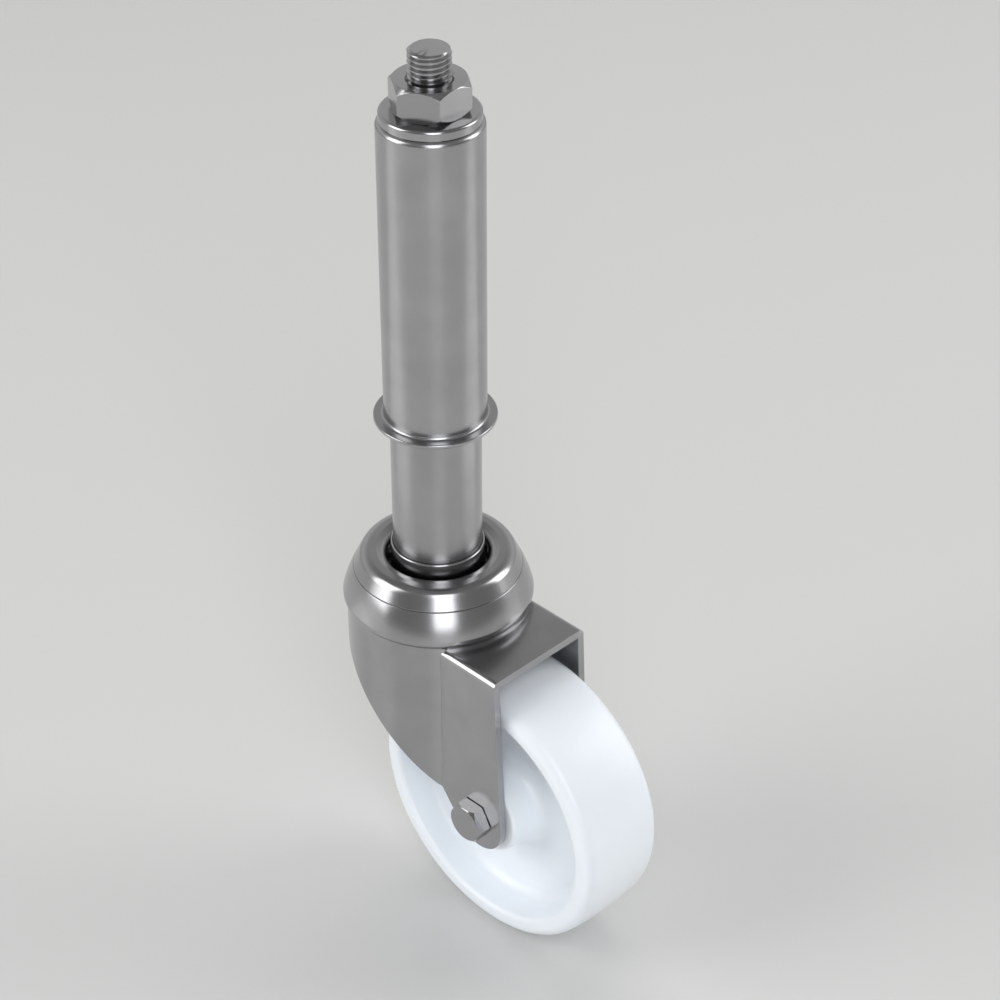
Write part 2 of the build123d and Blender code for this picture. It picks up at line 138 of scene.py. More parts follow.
def colour(name, default, description):
    """A colour property from an sRGB hex default."""
    return bpy.props.FloatVectorProperty(
        name=name, description=description, default=linear(default), size=4, min=0, max=1, subtype="COLOR"
    )


class CastorColumnSizes(bpy.types.PropertyGroup):
    """Sizes of the leg sleeve, the stud and the sliding column."""

    sleeve: length("Sleeve radius", 12.5, "Outside radius of the drawn leg sleeve")
    sleeve_hole: length("Sleeve hole", 5.4, "Radius of the hole for the stud in the sleeve's closed end")
    sleeve_wall: length("Sleeve wall", 1.3, "Wall of the drawn leg sleeve")
    sleeve_end_wall: length("Sleeve end wall", 1.5, "Thickness of the sleeve's closed end")
    sleeve_shoulder: length("Sleeve shoulder", 1.3, "Radius where the sleeve turns into its closed end")
    flange_root: length("Flange root", 0.8, "Fillet between the sleeve and its flange")
    flange_edge: length("Flange edge", 0.3, "Rounding of the flange's rim")
    washer_hole: length("Washer hole", 5.25, "Radius of the cap washer's hole")
    washer_edge: length("Washer edge", 0.7, "Rounding of the cap washer's top edge")
    stud_radius: length("Stud radius", 5.0, "Outside radius of the stud's thread")
    stud_pitch: length("Stud pitch", 1.25, "Distance from one thread crest of the stud to the next")
    stud_thread: length("Stud thread length", 24.0, "Length of the thread at each end of the stud")
    nut_flats: length("Nut across flats", 17.0, "Width of the top nut across its flats")
    nut_turn: degrees("Nut turn", 28.6, "How far the top nut is turned")
    nut_face_inset: length("Nut face inset", 0.1, "Gap from a nut's flats to the round face at its end")
    nut_sink: length("Nut countersink", 0.7, "Countersink at each end of the top nut's bore")
    lock_nut_flats: length("Lock nut across flats", 16.0, "Width of the stud's lock nut across its flats")
    tube_wall: length("Tube wall", 1.5, "Wall of the sliding tube")
    seat_hole: length("Spring seat hole", 5.3, "Radius of the hole in the ring that the spring stands on")
    bush_hole: length("Bush hole", 5.1, "Radius of the guide bush's hole")
    coil: length("Coil radius", 9.2, "Radius of the spring to the middle of its wire")
    wire: length("Spring wire", 2.8, "Diameter of the spring's wire")
    spring_turns: bpy.props.IntProperty(
        name="Active turns", description="Turns of the spring between its closed ends", default=7, min=1
    )


class CastorHeadSizes(bpy.types.PropertyGroup):
    """Sizes of the swivel head's pressed shell, races and balls."""

    ball: length("Ball", 4.76, "Diameter of a ball")
    ball_circle: length("Ball circle", 32.4, "Diameter of the circle that the balls' centres run on")
    race_gap: length("Race gap", 0.05, "Gap between a ball and its groove")
    balls: bpy.props.IntProperty(name="Balls", description="Balls in each row", default=20, min=3)
    groove_depth: length("Groove depth", 0.8, "How deep the balls' grooves are turned")
    disc: length("Block disc", 18.3, "Radius of the disc that both rows of balls run on")
    neck: length("Block neck", 12.0, "Radius of the race block below its disc")
    block_bore: length("Block bore", 5.02, "Radius of the race block's bore")
    plate_hole: length("Plate hole", 13.5, "Radius of the hole in the race plate")
    collar: length("Collar", 11.7, "Radius of the collar at the foot of the tube")
    collar_edge: length("Collar edge", 0.42, "Rounding of the collar's top edge")
    sheet: length("Shell sheet", 1.2, "Sheet thickness of the cover and the cup")
    cone_angle: degrees("Cone angle", 26, "Lean of the cover's cone")
    cover_hole: length("Cover hole", 12.8, "Radius of the cover's hole")
    crest_start: length("Crest start", 15.5, "Radius at which the cover's flat crest starts")
    crest_end: length("Crest end", 18.93, "Radius at which the cover's crest would meet its cone")
    lip: length("Cover lip", 1.9, "Rounding of the lip round the cover's hole")
    lip_depth: length("Cover lip depth", 2.5, "How far the lip round the cover's hole is turned down")
    crest: length("Cover crest", 2.8, "Radius of the cover's crest")
    cup_foot: length("Cup foot", 23.07, "Outside radius of the cup's foot")
    cup_height: length("Cup foot height", 3.1, "Height of the cup's widest edge above its foot")
    cup_edge: length("Cup edge", 0.5, "Rounding of the cup's widest edge")
    cup_bulge: length("Cup bulge", 0.2, "Height of the bulge in the cup's wall")
    seam_edge: length("Seam edge", 0.22, "Rounding of both sheets at the seam")


class CastorForkSizes(bpy.types.PropertyGroup):
    """Sizes of the pressed fork."""

    sheet: length("Fork sheet", 2.0, "Sheet thickness of the fork")
    drum: length("Drum radius", 23.07, "Outside radius of the fork's round back")
    cheek: length("Cheek face", 15.75, "Distance of a cheek's outer face from the middle")
    hole: length("Bolt hole", 3.1, "Radius of the hole for the axle bolt")
    fold: length("Fold radius", 1.6, "Outside radius of the folds along the cheeks")
    front: length("Front edge", 35.4, "Distance from the swivel axis to the fork's front edge at its top")
    end_radius: length("Cheek end", 7.9, "Radius round the low end of each cheek")
    edge: length("Cut edge", 0.22, "Rounding of the sheet's cut edges")


class CastorWheelSizes(bpy.types.PropertyGroup):
    """Sizes of the wheel and its axle."""

    crown: length("Tread crown", 0.8, "How much higher the tread's middle is than its edges")
    shoulder: length("Tread shoulder", 3.0, "Radius of the tread's shoulders")
    rim: length("Rim", 5.4, "Thickness of the rim at its mouth")
    rim_edge: length("Rim edge", 1.4, "Rounding of the rim's inner edge")
    rim_draft: degrees("Rim draft", 10, "Draft inside the rim")
    width: length("Wheel width", 25.1, "Width across the rim")
    web: length("Web", 7.0, "Thickness of the web")
    web_fillet: length("Web fillet", 4.0, "Fillet where the web meets the hub and the rim")
    hub: length("Hub radius", 11.3, "Radius of the hub's end")
    hub_draft: degrees("Hub draft", 6, "Draft of the hub's sides")
    hub_edge: length("Hub edge", 1.0, "Rounding of the hub's end")
    bore: length("Wheel bore", 4.05, "Radius of the wheel's bore")
    spacer: length("Spacer radius", 4.0, "Outside radius of the spacer tube")
    spacer_bore: length("Spacer bore", 3.05, "Radius of the spacer tube's bore")
    bolt_length: length("Axle bolt length", 40.0, "Length of the axle bolt under its head")
    bolt_thread: length("Axle bolt thread", 12.0, "Length of the axle bolt's thread")
    bolt_head: length("Axle bolt head", 3.8, "Height of the axle bolt's head")
    bolt_radius: length("Axle bolt radius", 3.0, "Outside radius of the axle bolt's thread")
    bolt_pitch: length("Axle bolt pitch", 1.0, "Distance from one thread crest of the axle bolt to the next")
    bolt_flats: length("Axle bolt across flats", 9.8, "Width of the axle bolt's head across its flats")
    nut_flats: length("Axle nut across flats", 10.0, "Width of the axle nut across its flats")
    nut_flat: length("Axle nut flat height", 4.4, "Height of the axle nut's flats")
    nut_collar: length("Axle nut collar", 4.4, "Radius of the axle nut's collar")
    nut_height: length("Axle nut height", 6.0, "Height of the axle nut with its collar")
    insert: length("Nylon ring", 3.7, "Outside radius of the nylon ring in the axle nut")


class CastorFinish(bpy.types.PropertyGroup):
    """Colours of the castor's metals and plastics and of the floor."""

    plated: colour("Plated sheet", "#A7A7A8", "Zinc plating on drawn and pressed sheet")
    turned: colour("Turned steel", "#A7A7A8", "Plated turned steel")
    spring: colour("Spring steel", "#5B5A58", "Oiled spring steel")
    ball: colour("Ball steel", "#C9CACC", "Polished ball steel")
    bush: colour("Bush plastic", "#D8D4C6", "Moulded acetal of the guide bush")
    insert: colour("Insert plastic", "#5E86B8", "Nylon ring in the axle nut")
    wheel: colour("Wheel plastic", "#EDF2F8", "Moulded polyamide of the wheel")
    floor: colour("Floor", "#D3D3D1", "Floor that the castor stands on")


# Shading

MATH = "ShaderNodeMath"
NOISE = "ShaderNodeTexNoise"
MAP_RANGE = "ShaderNodeMapRange"

DRAWN = "zinc_plated_drawn_steel"
PRESSED = "zinc_plated_pressed_steel"
TURNED = "zinc_plated_turned_steel"
SPRING_WIRE = "oil_tempered_spring_steel"
LAPPED = "lapped_ball_steel"
ACETAL = "moulded_acetal"
NYLON = "cut_nylon"
POLYAMIDE = "moulded_polyamide"

# What the metals share, and what the plastics share. The gloss follows the fine noise between the two values
# of "follows", and varies by "spread" to either side. A patch is a spot of the broad, faint mottling.
METAL = {
    "detail": 3.0,
    "harshness": 0.55,
    "follows": (0.25, 0.75),
    "spread": 0.01,
    "patch": 11.11 * MM,
    "sockets": {"Metallic": 1.0},
}
PLASTIC = {
    "detail": 2.0,
    "harshness": 0.5,
    "follows": (0.0, 1.0),
    "spread": 0.04,
    "patch": 16.67 * MM,
    "sockets": {"Subsurface Scale": 2.5 * MM, "Subsurface Radius": (1.0, 1.0, 1.0)},
}

# Each finish: what it shares, its colour, roughness, grain along X, Y and Z in mm, strength of relief,
# mottling and own values. The real grain is too fine to show, so it is drawn at a few tenths of a millimetre.
FINISHES = {
    # Zinc plating over drawn sheet: satin, with faint lines along the draw
    DRAWN: (METAL, "plated", 0.25, (0.3, 0.3, 12), 0.006, 0.06, {}),
    # Zinc plating over deep-pressed sheet: the same satin, slightly orange-peeled where it was stretched
    PRESSED: (METAL, "plated", 0.22, (0.5, 0.5, 0.5), 0.02, 0.06, {}),
    # Zinc plating over turned bar: feed lines round the axis
    TURNED: (METAL, "turned", 0.2, (0.6, 0.6, 0.12), 0.04, 0.06, {}),
    # Oil-tempered spring wire: dark and dull, with a fine scale
    SPRING_WIRE: (METAL, "spring", 0.35, (0.4, 0.4, 0.4), 0.1, 0.06, {}),
    # Lapped chrome steel: nearly a mirror
    LAPPED: (METAL, "ball", 0.08, (0.3, 0.3, 0.3), 0.02, 0.02, {}),
    # Acetal, injection moulded: waxy and off-white
    ACETAL: (PLASTIC, "bush", 0.38, (0.4, 0.4, 0.4), 0.1, 0.02, {"IOR": 1.48, "Subsurface Weight": 0.1}),
    # Nylon ring, cut from tube: dull
    NYLON: (PLASTIC, "insert", 0.5, (0.3, 0.3, 0.3), 0.15, 0.02, {"IOR": 1.53}),
    # Polyamide, injection moulded: white, smooth and slightly translucent at its edges
    POLYAMIDE: (
        PLASTIC, "wheel", 0.3, (0.35, 0.35, 0.35), 0.06, 0.01, {"IOR": 1.53, "Subsurface Weight": 0.4}
    ),
}


def fill(node, inputs):
    """Sets a node's inputs by name or in order: a value, a socket to link from, or a node's first output."""
    for key, value in inputs.items() if isinstance(inputs, dict) else enumerate(inputs):
        if isinstance(value, bpy.types.Node):
            value = value.outputs[0]
        if isinstance(value, bpy.types.NodeSocket):
            node.id_data.links.new(value, node.inputs[key])
        else:
            node.inputs[key].default_value = value


def add(tree, kind, inputs=(), **settings):
    """Adds a node with its settings and its inputs."""
    node = tree.nodes.new(kind)
    for name, value in settings.items():
        setattr(node, name, value)
    fill(node, inputs)
    return node


def mottled(colour, factor):
    """A colour made darker or lighter by a factor."""
    return tuple(min(1.0, part * factor) for part in colour[:3]) + (1.0,)


def finish_of(name):
    """The named material, made the first time that it is asked for.

    Its tone follows a broad noise, and its gloss and relief follow a fine one.
    """
    if name in bpy.data.materials:
        return bpy.data.materials[name]
    kind, colour_name, roughness, grain, strength, mottle, sockets = FINISHES[name]
    base = getattr(bpy.context.scene.castor_finish, colour_name)
    material = bpy.data.materials.new(name)
    material.use_nodes = True
    tree = material.node_tree
    spot = add(tree, "ShaderNodeTexCoord").outputs["Object"]
    scale = tuple(1 / (size * MM) for size in grain)
    mapped = add(tree, "ShaderNodeMapping", {"Vector": spot, "Scale": scale})
    texture = {"Vector": mapped, "Scale": 1.0, "Detail": kind["detail"], "Roughness": kind["harshness"]}
    fine = add(tree, NOISE, texture)
    broad = add(tree, NOISE, {"Vector": spot, "Scale": 1 / kind["patch"], "Detail": 2.0})
    share = add(tree, MAP_RANGE, {"Value": broad, "From Min": 0.3, "From Max": 0.7})
    shades = {0: share, 6: mottled(base, 1 - mottle), 7: mottled(base, 1 + mottle)}
    tone = add(tree, "ShaderNodeMix", shades, data_type="RGBA")
    low, high = kind["follows"]
    least, most = roughness - kind["spread"], roughness + kind["spread"]
    span = {"Value": fine, "From Min": low, "From Max": high, "To Min": least, "To Max": most}
    relief = add(tree, "ShaderNodeBump", {"Height": fine, "Strength": strength, "Distance": 0.02 * MM})
    inputs = {"Base Color": tone.outputs[2], "Roughness": add(tree, MAP_RANGE, span), "Normal": relief}
    fill(tree.nodes["Principled BSDF"], {**inputs, **kind["sockets"], **sockets})
    return material


# Mesh making


def rounded(corners):
    """Points of an outline whose corners, each given as (x, y, radius), are turned into arcs.

    A support point stands beside each end of an arc, so that smooth shading stays inside the arc.
    """
    points = []
    for index, (x, y, radius) in enumerate(corners):
        corner = Vector((x, y))
        if radius <= 0:
            points.append(corner)
            continue
        back = (Vector(corners[index - 1][:2]) - corner).normalized()
        on = (Vector(corners[(index + 1) % len(corners)][:2]) - corner).normalized()
        half = back.angle(on) / 2
        reach = radius / math.tan(half)
        centre = corner + (back + on).normalized() * radius / math.sin(half)
        sweep = math.pi - 2 * half
        steps = max(2, math.ceil(sweep / ARC_STEP))
        sign = -1 if back.cross(on) > 0 else 1
        spoke = corner + back * reach - centre
        support = min(0.1 * MM, 0.3 * radius)
        points.append(corner + back * (reach + support))
        for step in range(steps + 1):
            angle = sign * sweep * step / steps
            c, s = math.cos(angle), math.sin(angle)
            points.append(centre + Vector((spoke.x * c - spoke.y * s, spoke.x * s + spoke.y * c)))
        points.append(corner + on * (reach + support))
    return points


def arc(centre, radius, start, end, steps):
    """Points of an arc about a centre, from one angle to another, as corners with no rounding."""
    x, y = centre
    angles = [start + (end - start) * step / steps for step in range(steps + 1)]
    return [(x + radius * math.cos(angle), y + radius * math.sin(angle), 0) for angle in angles]


def hexagon(apothem):
    """Radius of a hexagon at an angle from one of its corners."""
    return lambda angle: apothem / math.cos(angle % (TURN / 6) - TURN / 12)


def mesh_from(vertices, faces):
    """A mesh with its doubles merged and its faces pointing outwards."""
    mesh = bpy.data.meshes.new("piece")
    mesh.from_pydata(vertices, [], faces)
    work = bmesh.new()
    work.from_mesh(mesh)
    bmesh.ops.remove_doubles(work, verts=work.verts, dist=0.0005 * MM)
    bmesh.ops.dissolve_degenerate(work, edges=work.edges, dist=0.0002 * MM)
    bmesh.ops.recalc_face_normals(work, faces=work.faces)
    work.to_mesh(mesh)
    work.free()
    return mesh


def turned_mesh(rings, sides=ROUND_SIDES, turn=0.0, closed=True):
    """A mesh from rings round the Z axis, each a radius and a height that may depend on the angle."""
    vertices = []
    for radius, height in rings:
        for side in range(sides):
            angle = TURN * side / sides
            r = radius(angle) if callable(radius) else radius
            z = height(angle) if callable(height) else height
            vertices.append((r * math.cos(angle + turn), r * math.sin(angle + turn), z))
    faces = []
    for ring in range(len(rings) if closed else len(rings) - 1):
        upper = (ring + 1) % len(rings)
        for side in range(sides):
            following = (side + 1) % sides
            low, high = ring * sides, upper * sides
            faces.append((low + side, low + following, high + following, high + side))
    return mesh_from(vertices, faces)


def joined(meshes):
    """One mesh from several."""
    work = bmesh.new()
    for part in meshes:
        work.from_mesh(part)
        bpy.data.meshes.remove(part)
    mesh = bpy.data.meshes.new("piece")
    work.to_mesh(mesh)
    work.free()
    return mesh


def place(name, mesh, finish, body, node, bevel=0.0):
    """Makes a finished piece of a mesh: its edges and material, what it rides on and what it stands for."""
    mesh.name = name
    mesh.materials.clear()
    mesh.materials.append(finish_of(finish))
    mesh.polygons.foreach_set("use_smooth", [True] * len(mesh.polygons))
    piece = bpy.data.objects.new(name, mesh)
    bpy.context.scene.collection.objects.link(piece)
    if bevel:
        edges = piece.modifiers.new("edge rounding", "BEVEL")
        edges.width, edges.segments = bevel, EDGE_STEPS
        edges.limit_method, edges.angle_limit = "ANGLE", BEVEL_ANGLE
        normals = piece.modifiers.new("flat faces stay flat", "WEIGHTED_NORMAL")
        normals.keep_sharp = False
    else:
        mesh.set_sharp_from_angle(angle=SMOOTH_ANGLE)
    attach(piece, body)
    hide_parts(node)
    return piece


# Geometry Nodes trees


def new_tree(name, lengths, counts=()):
    """A Geometry Nodes tree with named inputs, and what it knows so far: those inputs by name."""
    tree = bpy.data.node_groups.new(name, "GeometryNodeTree")
    for labels, kind in ((lengths, "NodeSocketFloat"), (counts, "NodeSocketInt")):
        for label in labels:
            tree.interface.new_socket(label, in_out="INPUT", socket_type=kind)
    tree.interface.new_socket("Geometry", in_out="OUTPUT", socket_type="NodeSocketGeometry")
    return tree, {socket.name: socket for socket in add(tree, "NodeGroupInput").outputs}


def close_tree(tree, geometry, material):
    """Ends a tree in Realize Instances and Set Material."""
    real = add(tree, "GeometryNodeRealizeInstances", (geometry,))
    dressed = add(tree, "GeometryNodeSetMaterial", {"Geometry": real, "Material": material})
    add(tree, "NodeGroupOutput", (dressed,))


def grown(tree, values):
    """The plain mesh that a tree grows from its named values."""
    seed = bpy.data.objects.new(tree.name, bpy.data.meshes.new(tree.name))
    bpy.context.scene.collection.objects.link(seed)
    modifier = seed.modifiers.new(tree.name, "NODES")
    modifier.node_group = tree
    for item in tree.interface.items_tree:
        if item.in_out == "INPUT":
            modifier[item.identifier] = values[item.name]
    seed.update_tag()
    graph = bpy.context.evaluated_depsgraph_get()
    mesh = bpy.data.meshes.new_from_object(seed.evaluated_get(graph))
    seed.modifiers.remove(modifier)
    bpy.data.objects.remove(seed)
    return mesh


def thread_tree(material):
    """A threaded rod along Z: a grid rolled into a tube whose rows climb one pitch a turn."""
    tree, known = new_tree(
        "screw_thread", ("Crest radius", "End radius", "Pitch", "Depth", "Low end", "High end"), ("Sides",)
    )
    spot = add(tree, "ShaderNodeSeparateXYZ", (add(tree, "GeometryNodeInputPosition"),))
    known["across"], known["along"] = spot.outputs[0], spot.outputs[1]
    # Each step: what it works out, and from what
    for name, operation, *values in (
        ("reach", "SUBTRACT", "High end", "Low end"),
        ("turns", "DIVIDE", "reach", "Pitch"),
        ("turns", "CEIL", "turns"),
        ("turns", "ADD", "turns", 1.0),
        ("rows", "MULTIPLY", "turns", float(THREAD_ROWS)),
        ("rows", "ADD", "rows", 2.0),
        ("grid columns", "ADD", "Sides", 1.0),
        ("grid rows", "ADD", "rows", 1.0),
        ("around", "ADD", "across", 0.5),
        ("row", "ADD", "along", 0.5),
        ("row", "MULTIPLY", "row", "rows"),
        ("row", "ROUND", "row"),
        ("climb", "SUBTRACT", "row", 1.0),
        ("climb", "DIVIDE", "climb", float(THREAD_ROWS)),
        ("height", "SUBTRACT", "climb", 1.0),
        ("height", "ADD", "height", "around"),
        ("height", "MULTIPLY", "height", "Pitch"),
        ("height", "ADD", "height", "Low end"),
        # The thread's form in one pitch, from whole turns on so that no share is negative: a flat crest, two
        # straight flanks and a flat root
        ("part", "ADD", "climb", 4.0),
        ("part", "FRACT", "part"),
        ("aside", "SUBTRACT", "part", HALF_CREST),
        ("aside", "ABSOLUTE", "aside"),
        ("other way", "SUBTRACT", 1.0, "aside"),
        ("aside", "MINIMUM", "aside", "other way"),
        ("flank", "SUBTRACT", "aside", HALF_CREST),
        ("flank", "DIVIDE", "flank", FLANK),
        ("flank", "MAXIMUM", "flank", 0.0),
        ("flank", "MINIMUM", "flank", 1.0),
        ("cut", "MULTIPLY", "Depth", "flank"),
        ("radius", "SUBTRACT", "Crest radius", "cut"),
        # The row nearest an end is moved on to the rim of its flat face, and the rows past it close the face
        ("half row", "MULTIPLY", "Pitch", 0.5 / THREAD_ROWS),
        ("past", "MULTIPLY", "half row", -1.0),
        ("from low", "SUBTRACT", "height", "Low end"),
        ("low kept", "GREATER_THAN", "from low", "half row"),
        ("low kept", "MULTIPLY", "from low", "low kept"),
        ("low lead", "ADD", "End radius", "low kept"),
        ("above low", "GREATER_THAN", "from low", "past"),
        ("from high", "SUBTRACT", "High end", "height"),
        ("high kept", "GREATER_THAN", "from high", "half row"),
        ("high kept", "MULTIPLY", "from high", "high kept"),
        ("high lead", "ADD", "End radius", "high kept"),
        ("below high", "GREATER_THAN", "from high", "past"),
        ("after first", "GREATER_THAN", "row", 0.5),
        ("last row", "SUBTRACT", "rows", 0.5),
        ("before last", "LESS_THAN", "row", "last row"),
        ("radius", "MINIMUM", "radius", "low lead"),
        ("radius", "MINIMUM", "radius", "high lead"),
        ("radius", "MULTIPLY", "radius", "above low"),
        ("radius", "MULTIPLY", "radius", "below high"),
        ("radius", "MULTIPLY", "radius", "after first"),
        ("radius", "MULTIPLY", "radius", "before last"),
        ("level", "ADD", "Low end", "low kept"),
        ("level", "ADD", "level", "High end"),
        ("level", "SUBTRACT", "level", "high kept"),
        ("level", "SUBTRACT", "level", "height"),
        ("level", "MAXIMUM", "level", "Low end"),
        ("level", "MINIMUM", "level", "High end"),
        ("angle", "MULTIPLY", "around", TURN),
        ("x", "COSINE", "angle"),
        ("x", "MULTIPLY", "radius", "x"),
        ("y", "SINE", "angle"),
        ("y", "MULTIPLY", "radius", "y"),
    ):
        inputs = [known.get(value, value) for value in values]
        known[name] = add(tree, MATH, inputs, operation=operation)
    size = {"Size X": 1.0, "Size Y": 1.0}
    counts = {"Vertices X": known["grid columns"], "Vertices Y": known["grid rows"]}
    grid = add(tree, "GeometryNodeMeshGrid", {**size, **counts})
    rolled = add(tree, "ShaderNodeCombineXYZ", (known["x"], known["y"], known["level"]))
    moved = add(tree, "GeometryNodeSetPosition", {"Geometry": grid, "Position": rolled})
    merged = add(tree, "GeometryNodeMergeByDistance", {"Geometry": moved, "Distance": 0.001 * MM})
    close_tree(tree, merged, material)
    return tree


def spring_tree(material):
    """A round-wire spring along Z with a closed and ground turn at each end."""
    lengths = ("Coil radius", "Wire radius", "End pitch", "Low end", "High end")
    tree, known = new_tree("coil_spring", (*lengths, "Active turns", "Ground share"))
    known["along"] = add(tree, "GeometryNodeSplineParameter").outputs["Factor"]
    reached = add(tree, "ShaderNodeSeparateXYZ", (add(tree, "GeometryNodeInputPosition"),))
    known["reached"] = reached.outputs[2]
    # Each step: what it works out, and from what
    for name, operation, *values in (
        ("turns", "ADD", "Active turns", 2.0),
        ("points", "MULTIPLY", "turns", float(SPRING_POINTS)),
        ("points", "ADD", "points", 1.0),
        ("turn", "MULTIPLY", "along", "turns"),
        ("ground", "MULTIPLY", "Wire radius", "Ground share"),
        ("low", "ADD", "Low end", "ground"),
        ("high", "SUBTRACT", "High end", "ground"),
        ("closed rise", "MULTIPLY", "End pitch", 2.0),
        ("active rise", "SUBTRACT", "high", "low"),
        ("active rise", "SUBTRACT", "active rise", "closed rise"),
        ("active pitch", "DIVIDE", "active rise", "Active turns"),
        ("first", "MINIMUM", "turn", 1.0),
        ("first", "MULTIPLY", "first", "End pitch"),
        ("middle", "SUBTRACT", "turn", 1.0),
        ("middle", "MAXIMUM", "middle", 0.0),
        ("middle", "MINIMUM", "middle", "Active turns"),
        ("middle", "MULTIPLY", "middle", "active pitch"),
        ("last", "SUBTRACT", "turn", "Active turns"),
        ("last", "SUBTRACT", "last", 1.0),
        ("last", "MAXIMUM", "last", 0.0),
        ("last", "MULTIPLY", "last", "End pitch"),
        ("height", "ADD", "low", "first"),
        ("height", "ADD", "height", "middle"),
        ("height", "ADD", "height", "last"),
        ("angle", "MULTIPLY", "turn", TURN),
        ("x", "COSINE", "angle"),
        ("x", "MULTIPLY", "Coil radius", "x"),
        ("y", "SINE", "angle"),
        ("y", "MULTIPLY", "Coil radius", "y"),
        # Both ends are ground flat: what stands past the seats is pressed back to them
        ("flat", "MAXIMUM", "reached", "Low end"),
        ("flat", "MINIMUM", "flat", "High end"),
    ):
        inputs = [known.get(value, value) for value in values]
        known[name] = add(tree, MATH, inputs, operation=operation)
    line = add(tree, "GeometryNodeCurvePrimitiveLine")
    wire = add(tree, "GeometryNodeResampleCurve", {"Curve": line, "Count": known["points"]})
    spot = add(tree, "ShaderNodeCombineXYZ", (known["x"], known["y"], known["height"]))
    coiled = add(tree, "GeometryNodeSetPosition", {"Geometry": wire, "Position": spot})
    round_wire = {"Resolution": WIRE_SIDES, "Radius": known["Wire radius"]}
    section = add(tree, "GeometryNodeCurvePrimitiveCircle", round_wire)
    skin = {"Curve": coiled, "Profile Curve": section, "Fill Caps": True}
    solid = add(tree, "GeometryNodeCurveToMesh", skin)
    pressed = add(tree, "ShaderNodeCombineXYZ", (reached.outputs[0], reached.outputs[1], known["flat"]))
    ended = add(tree, "GeometryNodeSetPosition", {"Geometry": solid, "Position": pressed})
    close_tree(tree, ended, material)
    return tree


def ball_tree(material):
    """A ring of balls about the Z axis."""
    tree, known = new_tree("ball_row", ("Ball radius", "Circle radius", "Height"), ("Count",))
    ring = {"Vertices": known["Count"], "Radius": known["Circle radius"]}
    circle = add(tree, "GeometryNodeMeshCircle", ring)
    lift = add(tree, "ShaderNodeCombineXYZ", {2: known["Height"]})
    raised = add(tree, "GeometryNodeTransform", {"Geometry": circle, "Translation": lift})
    sphere = {"Radius": known["Ball radius"], "Subdivisions": BALL_LEVEL}
    ball = add(tree, "GeometryNodeMeshIcoSphere", sphere)
    row = add(tree, "GeometryNodeInstanceOnPoints", {"Points": raised, "Instance": ball})
    close_tree(tree, row, material)
    return tree


def threaded_rod(crest, pitch, low, high, sides):
    """A plain mesh of a threaded rod of turned steel along Z, with a 45 degree lead at each end."""
    tree = bpy.data.node_groups.get("screw_thread") or thread_tree(finish_of(TURNED))
    values = {
        "Crest radius": crest,
        "End radius": crest - THREAD_LEAD,
        "Pitch": pitch,
        "Depth": THREAD_DEPTH * pitch,
        "Low end": low,
        "High end": high,
        "Sides": sides,
    }
    return grown(tree, values)


def ring_section(inner, outer, low, high, edge):
    """Section of a plain ring, all four corners rounded alike."""
    return rounded([(inner, low, edge), (outer, low, edge), (outer, high, edge), (inner, high, edge)])


def hex_rings(apothem, inset, low, high, low_chamfer=True):
    """Outer rings of a hexagon bar from its low face to its high one, its corners chamfered at 45 degrees."""
    side = hexagon(apothem)
    face = apothem - inset
    rings = [(side, low)]
    if low_chamfer:
        rings = [(face, low), (side, lambda angle: low + side(angle) - face)]
    return rings + [(side, lambda angle: high - side(angle) + face), (face, high)]


# Operators, one for each piece or group of like pieces


class CASTOR_OT_leg_sleeve(bpy.types.Operator):
    """Drawn leg sleeve with its closed end, shoulder and flange"""

    bl_idname = "castor.leg_sleeve"
    bl_label = "Leg sleeve"

    def execute(self, context):
        sizes = context.scene.castor_column
        outer, hole, flange = sizes.sleeve, sizes.sleeve_hole, sleeve_high.x
        bore = outer - sizes.sleeve_wall
        top, bottom = sleeve_high.z, sleeve_low.z
        ceiling = top - sizes.sleeve_end_wall
        hole_edge, ceiling_edge, corner, mouth = 0.15 * MM, 0.1 * MM, 0.5 * MM, 0.6 * MM
        section = rounded(
            [
                (hole, top, hole_edge),
                (outer, top, sizes.sleeve_shoulder),
                (outer, 0.0, sizes.flange_root),
                (flange, 0.0, sizes.flange_edge),
                (flange, bottom, sizes.flange_edge),
                (bore, bottom, mouth),
                (bore, ceiling, corner),
                (hole, ceiling, ceiling_edge),
            ]
        )
        place("leg_sleeve", turned_mesh(section), DRAWN, "leg_sleeve_body", "outer_sleeve")
        return {"FINISHED"}


